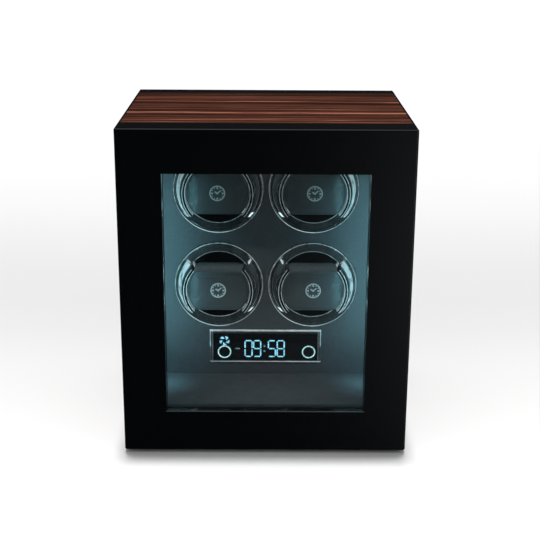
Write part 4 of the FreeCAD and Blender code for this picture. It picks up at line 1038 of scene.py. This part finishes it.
def fan_icon(bm):
    """Five swept blades."""
    centre = Vector((BUTTON_LEFT, DISPLAY_CENTRE.z + FAN_HEIGHT))
    blades = 5
    blade_span = math.radians(42.0)
    sweep = math.radians(26.0)
    tips, roots = 7, 5

    def point(turn, radius):
        return centre + radius * Vector((math.cos(turn), math.sin(turn)))

    for blade in range(blades):
        start = math.radians(360.0 / blades * blade + 12.0)
        outline = [point(start + sweep + blade_span * i / (tips - 1), FAN_RADIUS) for i in range(tips)]
        outline += [point(start + blade_span * (1.0 - i / (roots - 1)) * 0.9, 0.45 * FAN_RADIUS)
                    for i in range(roots)]
        plate(bm, outline, GLYPH_BACK, GLYPH_FRONT)


def make_display():
    bright = lit_segment("lit_figures", (0.26, 0.70, 0.92), 1.3)
    dim = lit_segment("lit_marks", (0.16, 0.42, 0.5), 0.6)
    rings = lit_segment("lit_rings", (0.50, 0.88, 0.92), 1.0)
    for name, build, finish in (
        ("display_figures", clock_figures, bright),
        ("display_marks", clock_dots, dim),
        ("display_touch_rings", touch_rings, rings),
        ("display_fan_icon", fan_icon, bright),
    ):
        piece = new_object(name, mesh_from(name, build), finish)
        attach(piece, "cabinet")


# ---------------------------------------------------------------- studio


def hide_from(item, *rays):
    for name in rays:
        setattr(item, "visible_" + name, False)


def lamp(name, place, aim, size, power, spread, tint=(1.0, 1.0, 1.0)):
    """A rectangular lamp at place, facing the point aim."""
    data = bpy.data.lights.new(name, "AREA")
    data.shape = "RECTANGLE"
    data.size, data.size_y = size
    data.energy = power
    data.color = tint
    data.spread = math.radians(spread)
    item = bpy.data.objects.new(name, data)
    direction = Vector(aim) - Vector(place)
    item.rotation_euler = direction.to_track_quat("-Z", "Y").to_euler()
    item.location = place
    SCENE.collection.objects.link(item)
    return item


CABIN_LAMP_POWER = 0.135
CABIN_LAMP_SPREAD = 115.0
CABIN_LAMP_DROP = 18.0 * MM
WINDOW_LIGHT = 0.060
WINDOW_SPREAD = 120.0
WINDOW_SIZE = (0.16, 0.10)
FLOOR_GLOW = 0.0092
FLOOR_GLOW_SIZE = (0.02, 0.02)
ROW_LIGHT = 0.016
ROW_SPREAD = 105.0
ROW_SIZE = (0.14, 0.012)


def light_cabin():
    """The lamp strips' own light, with the glow they leave in the floor's corners and on top of the cushions,
    and the room's light through the glass, falling on the floor."""
    low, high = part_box("led_diffusers")
    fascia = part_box("fascia_board")[0].y
    middle = 0.5 * (low + high)
    strip_size = (high.y - low.y, 0.8 * (high.z - low.z))
    strip_level = middle.z - CABIN_LAMP_DROP
    unseen = ("camera", "glossy", "transmission")
    for label, side in (("left", -1.0), ("right", 1.0)):
        place = Vector((side * (high.x - 2.2 * MM), middle.y, strip_level))
        aim = Vector((side * (high.x - 8.0 * MM), fascia, strip_level))
        strip = lamp("cabin_lamp_" + label, place, aim, strip_size, CABIN_LAMP_POWER, CABIN_LAMP_SPREAD,
                     LAMP_TINT)
        hide_from(strip, "camera")
        corner = Vector((side * (high.x - 10.0 * MM), fascia - 23.0 * MM, low.z + 12.0 * MM))
        below = corner - Vector((0.0, 0.0, low.z))
        glow = lamp("floor_glow_" + label, corner, below, FLOOR_GLOW_SIZE, FLOOR_GLOW, CABIN_LAMP_SPREAD,
                    LAMP_TINT)
        hide_from(glow, *unseen)
    glass_low, glass_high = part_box("door_glass")
    place = Vector((0.0, glass_high.y + 14.0 * MM, 0.3 * glass_high.z + 0.7 * glass_low.z))
    aim = Vector((0.0, fascia, glass_low.z))
    window = lamp("window_light", place, aim, WINDOW_SIZE, WINDOW_LIGHT, WINDOW_SPREAD)
    hide_from(window, *unseen)
    for label, row in (("upper", UPPER_ROW), ("lower", LOWER_ROW)):
        place = Vector((0.0, RING_LOW.y + 9.0 * MM, row + 45.0 * MM))
        below = place - Vector((0.0, 0.0, row))
        over = lamp("row_light_" + label, place, below, ROW_SIZE, ROW_LIGHT, ROW_SPREAD)
        hide_from(over, *unseen)


FLOOR_SIDE = 15.0
FLOOR_PAINTED_SHADES = (
    # distance behind the middle of the box, how much of the light the paper gives back; the dip behind the
    # box is painted shade
    (-0.10, 0.92),
    (-0.05, 0.88),
    (0.01, 0.84),
    (0.12, 0.78),
    (0.21, 0.725),
    (0.31, 0.695),
    (0.43, 0.70),
    (0.57, 0.73),
    (0.74, 0.775),
    (0.95, 0.81),
    (1.50, 0.85),
)


def make_floor():
    """Flat white paper, with a soft grey band of painted shade across it behind the box."""
    mesh = mesh_from("floor", bmesh.ops.create_grid, x_segments=1, y_segments=1, size=FLOOR_SIDE)
    paper = Finish("studio_paper", Roughness=0.9, Specular_IOR_Level=0.0)
    first, last = FLOOR_PAINTED_SHADES[0][0], FLOOR_PAINTED_SHADES[-1][0]
    stops = [((at - first) / (last - first), painted_band) for at, painted_band in FLOOR_PAINTED_SHADES]
    # painted shade: the paper's colour greys in a band behind the box
    painted_band = paper.ramp(paper.spread(paper.axes()[1], first, last), stops)
    blotch = paper.vary(paper.noise(0.4), 0.0, 0.02)
    paper.colour(blotch, painted_band, (0.8, 0.8, 0.8))
    floor = new_object("floor", mesh, paper.material)
    hide_from(floor, "glossy", "transmission")


TENT_RADIUS = 4.0
TENT_GREY = 0.014
REFLECTIONS = (
    # direction from the box, strength, sharpness
    ((0.0, -0.35, 1.0), 1.3, 10.0),
    ((0.45, -0.85, -0.22), 0.95, 36.0),
    ((-1.0, 0.1, 0.2), 0.22, 8.0),
    ((1.0, 0.5, 0.2), 0.22, 8.0),
)


def make_reflections():
    """What the polished parts mirror: a dim tent with soft bright areas. It lights nothing else."""
    mesh = mesh_from("reflection_tent", bmesh.ops.create_uvsphere,
                     u_segments=48, v_segments=24, radius=TENT_RADIUS)
    smooth(mesh)
    tent = Finish("reflection_tent", Base_Color=(0.0, 0.0, 0.0), Roughness=1.0, Specular_IOR_Level=0.0)
    direction = tent.vectors("NORMALIZE", tent.place)
    level = TENT_GREY
    for toward, strength, sharpness in REFLECTIONS:
        dot = tent.node("VectorMath", operation="DOT_PRODUCT")
        tent.link(direction, dot.inputs[0])
        dot.inputs[1].default_value = Vector(toward).normalized()
        lobe = tent.math("POWER", tent.math("MAXIMUM", dot.outputs["Value"], 0.0), sharpness)
        level = tent.math("MULTIPLY_ADD", lobe, strength, level)
    tent.feed("Emission_Color", (0.88, 0.96, 1.0))
    tent.feed("Emission_Strength", level)
    tent.material.cycles.emission_sampling = "NONE"
    item = new_object("reflection_tent", mesh, tent.material)
    hide_from(item, "camera", "diffuse", "shadow", "volume_scatter")


ROOM_LIGHT = 0.42
KEY_STRENGTH = 2.55
KEY_DIRECTION = Vector((0.0, -0.055, -1.0))
KEY_SOFTNESS = math.radians(5.0)


def light_studio():
    """An even white room, and a high key light from just behind the box, whose shadow falls before it."""
    world = bpy.data.worlds.new("studio")
    SCENE.world = world
    world.use_nodes = True
    background = world.node_tree.nodes["Background"]
    background.inputs["Color"].default_value = (1.0, 1.0, 1.0, 1.0)
    background.inputs["Strength"].default_value = ROOM_LIGHT
    world.cycles_visibility.glossy = False
    world.cycles_visibility.transmission = False
    data = bpy.data.lights.new("key", "SUN")
    data.energy = KEY_STRENGTH
    data.angle = KEY_SOFTNESS
    key = bpy.data.objects.new("key", data)
    key.rotation_euler = KEY_DIRECTION.to_track_quat("-Z", "Y").to_euler()
    SCENE.collection.objects.link(key)
    hide_from(key, "glossy")
    SCENE.view_settings.view_transform = "Standard"


make_camera()
finishes = dress_nodes()
make_cushions(finishes)
make_display()
light_cabin()
make_floor()
make_reflections()
light_studio()
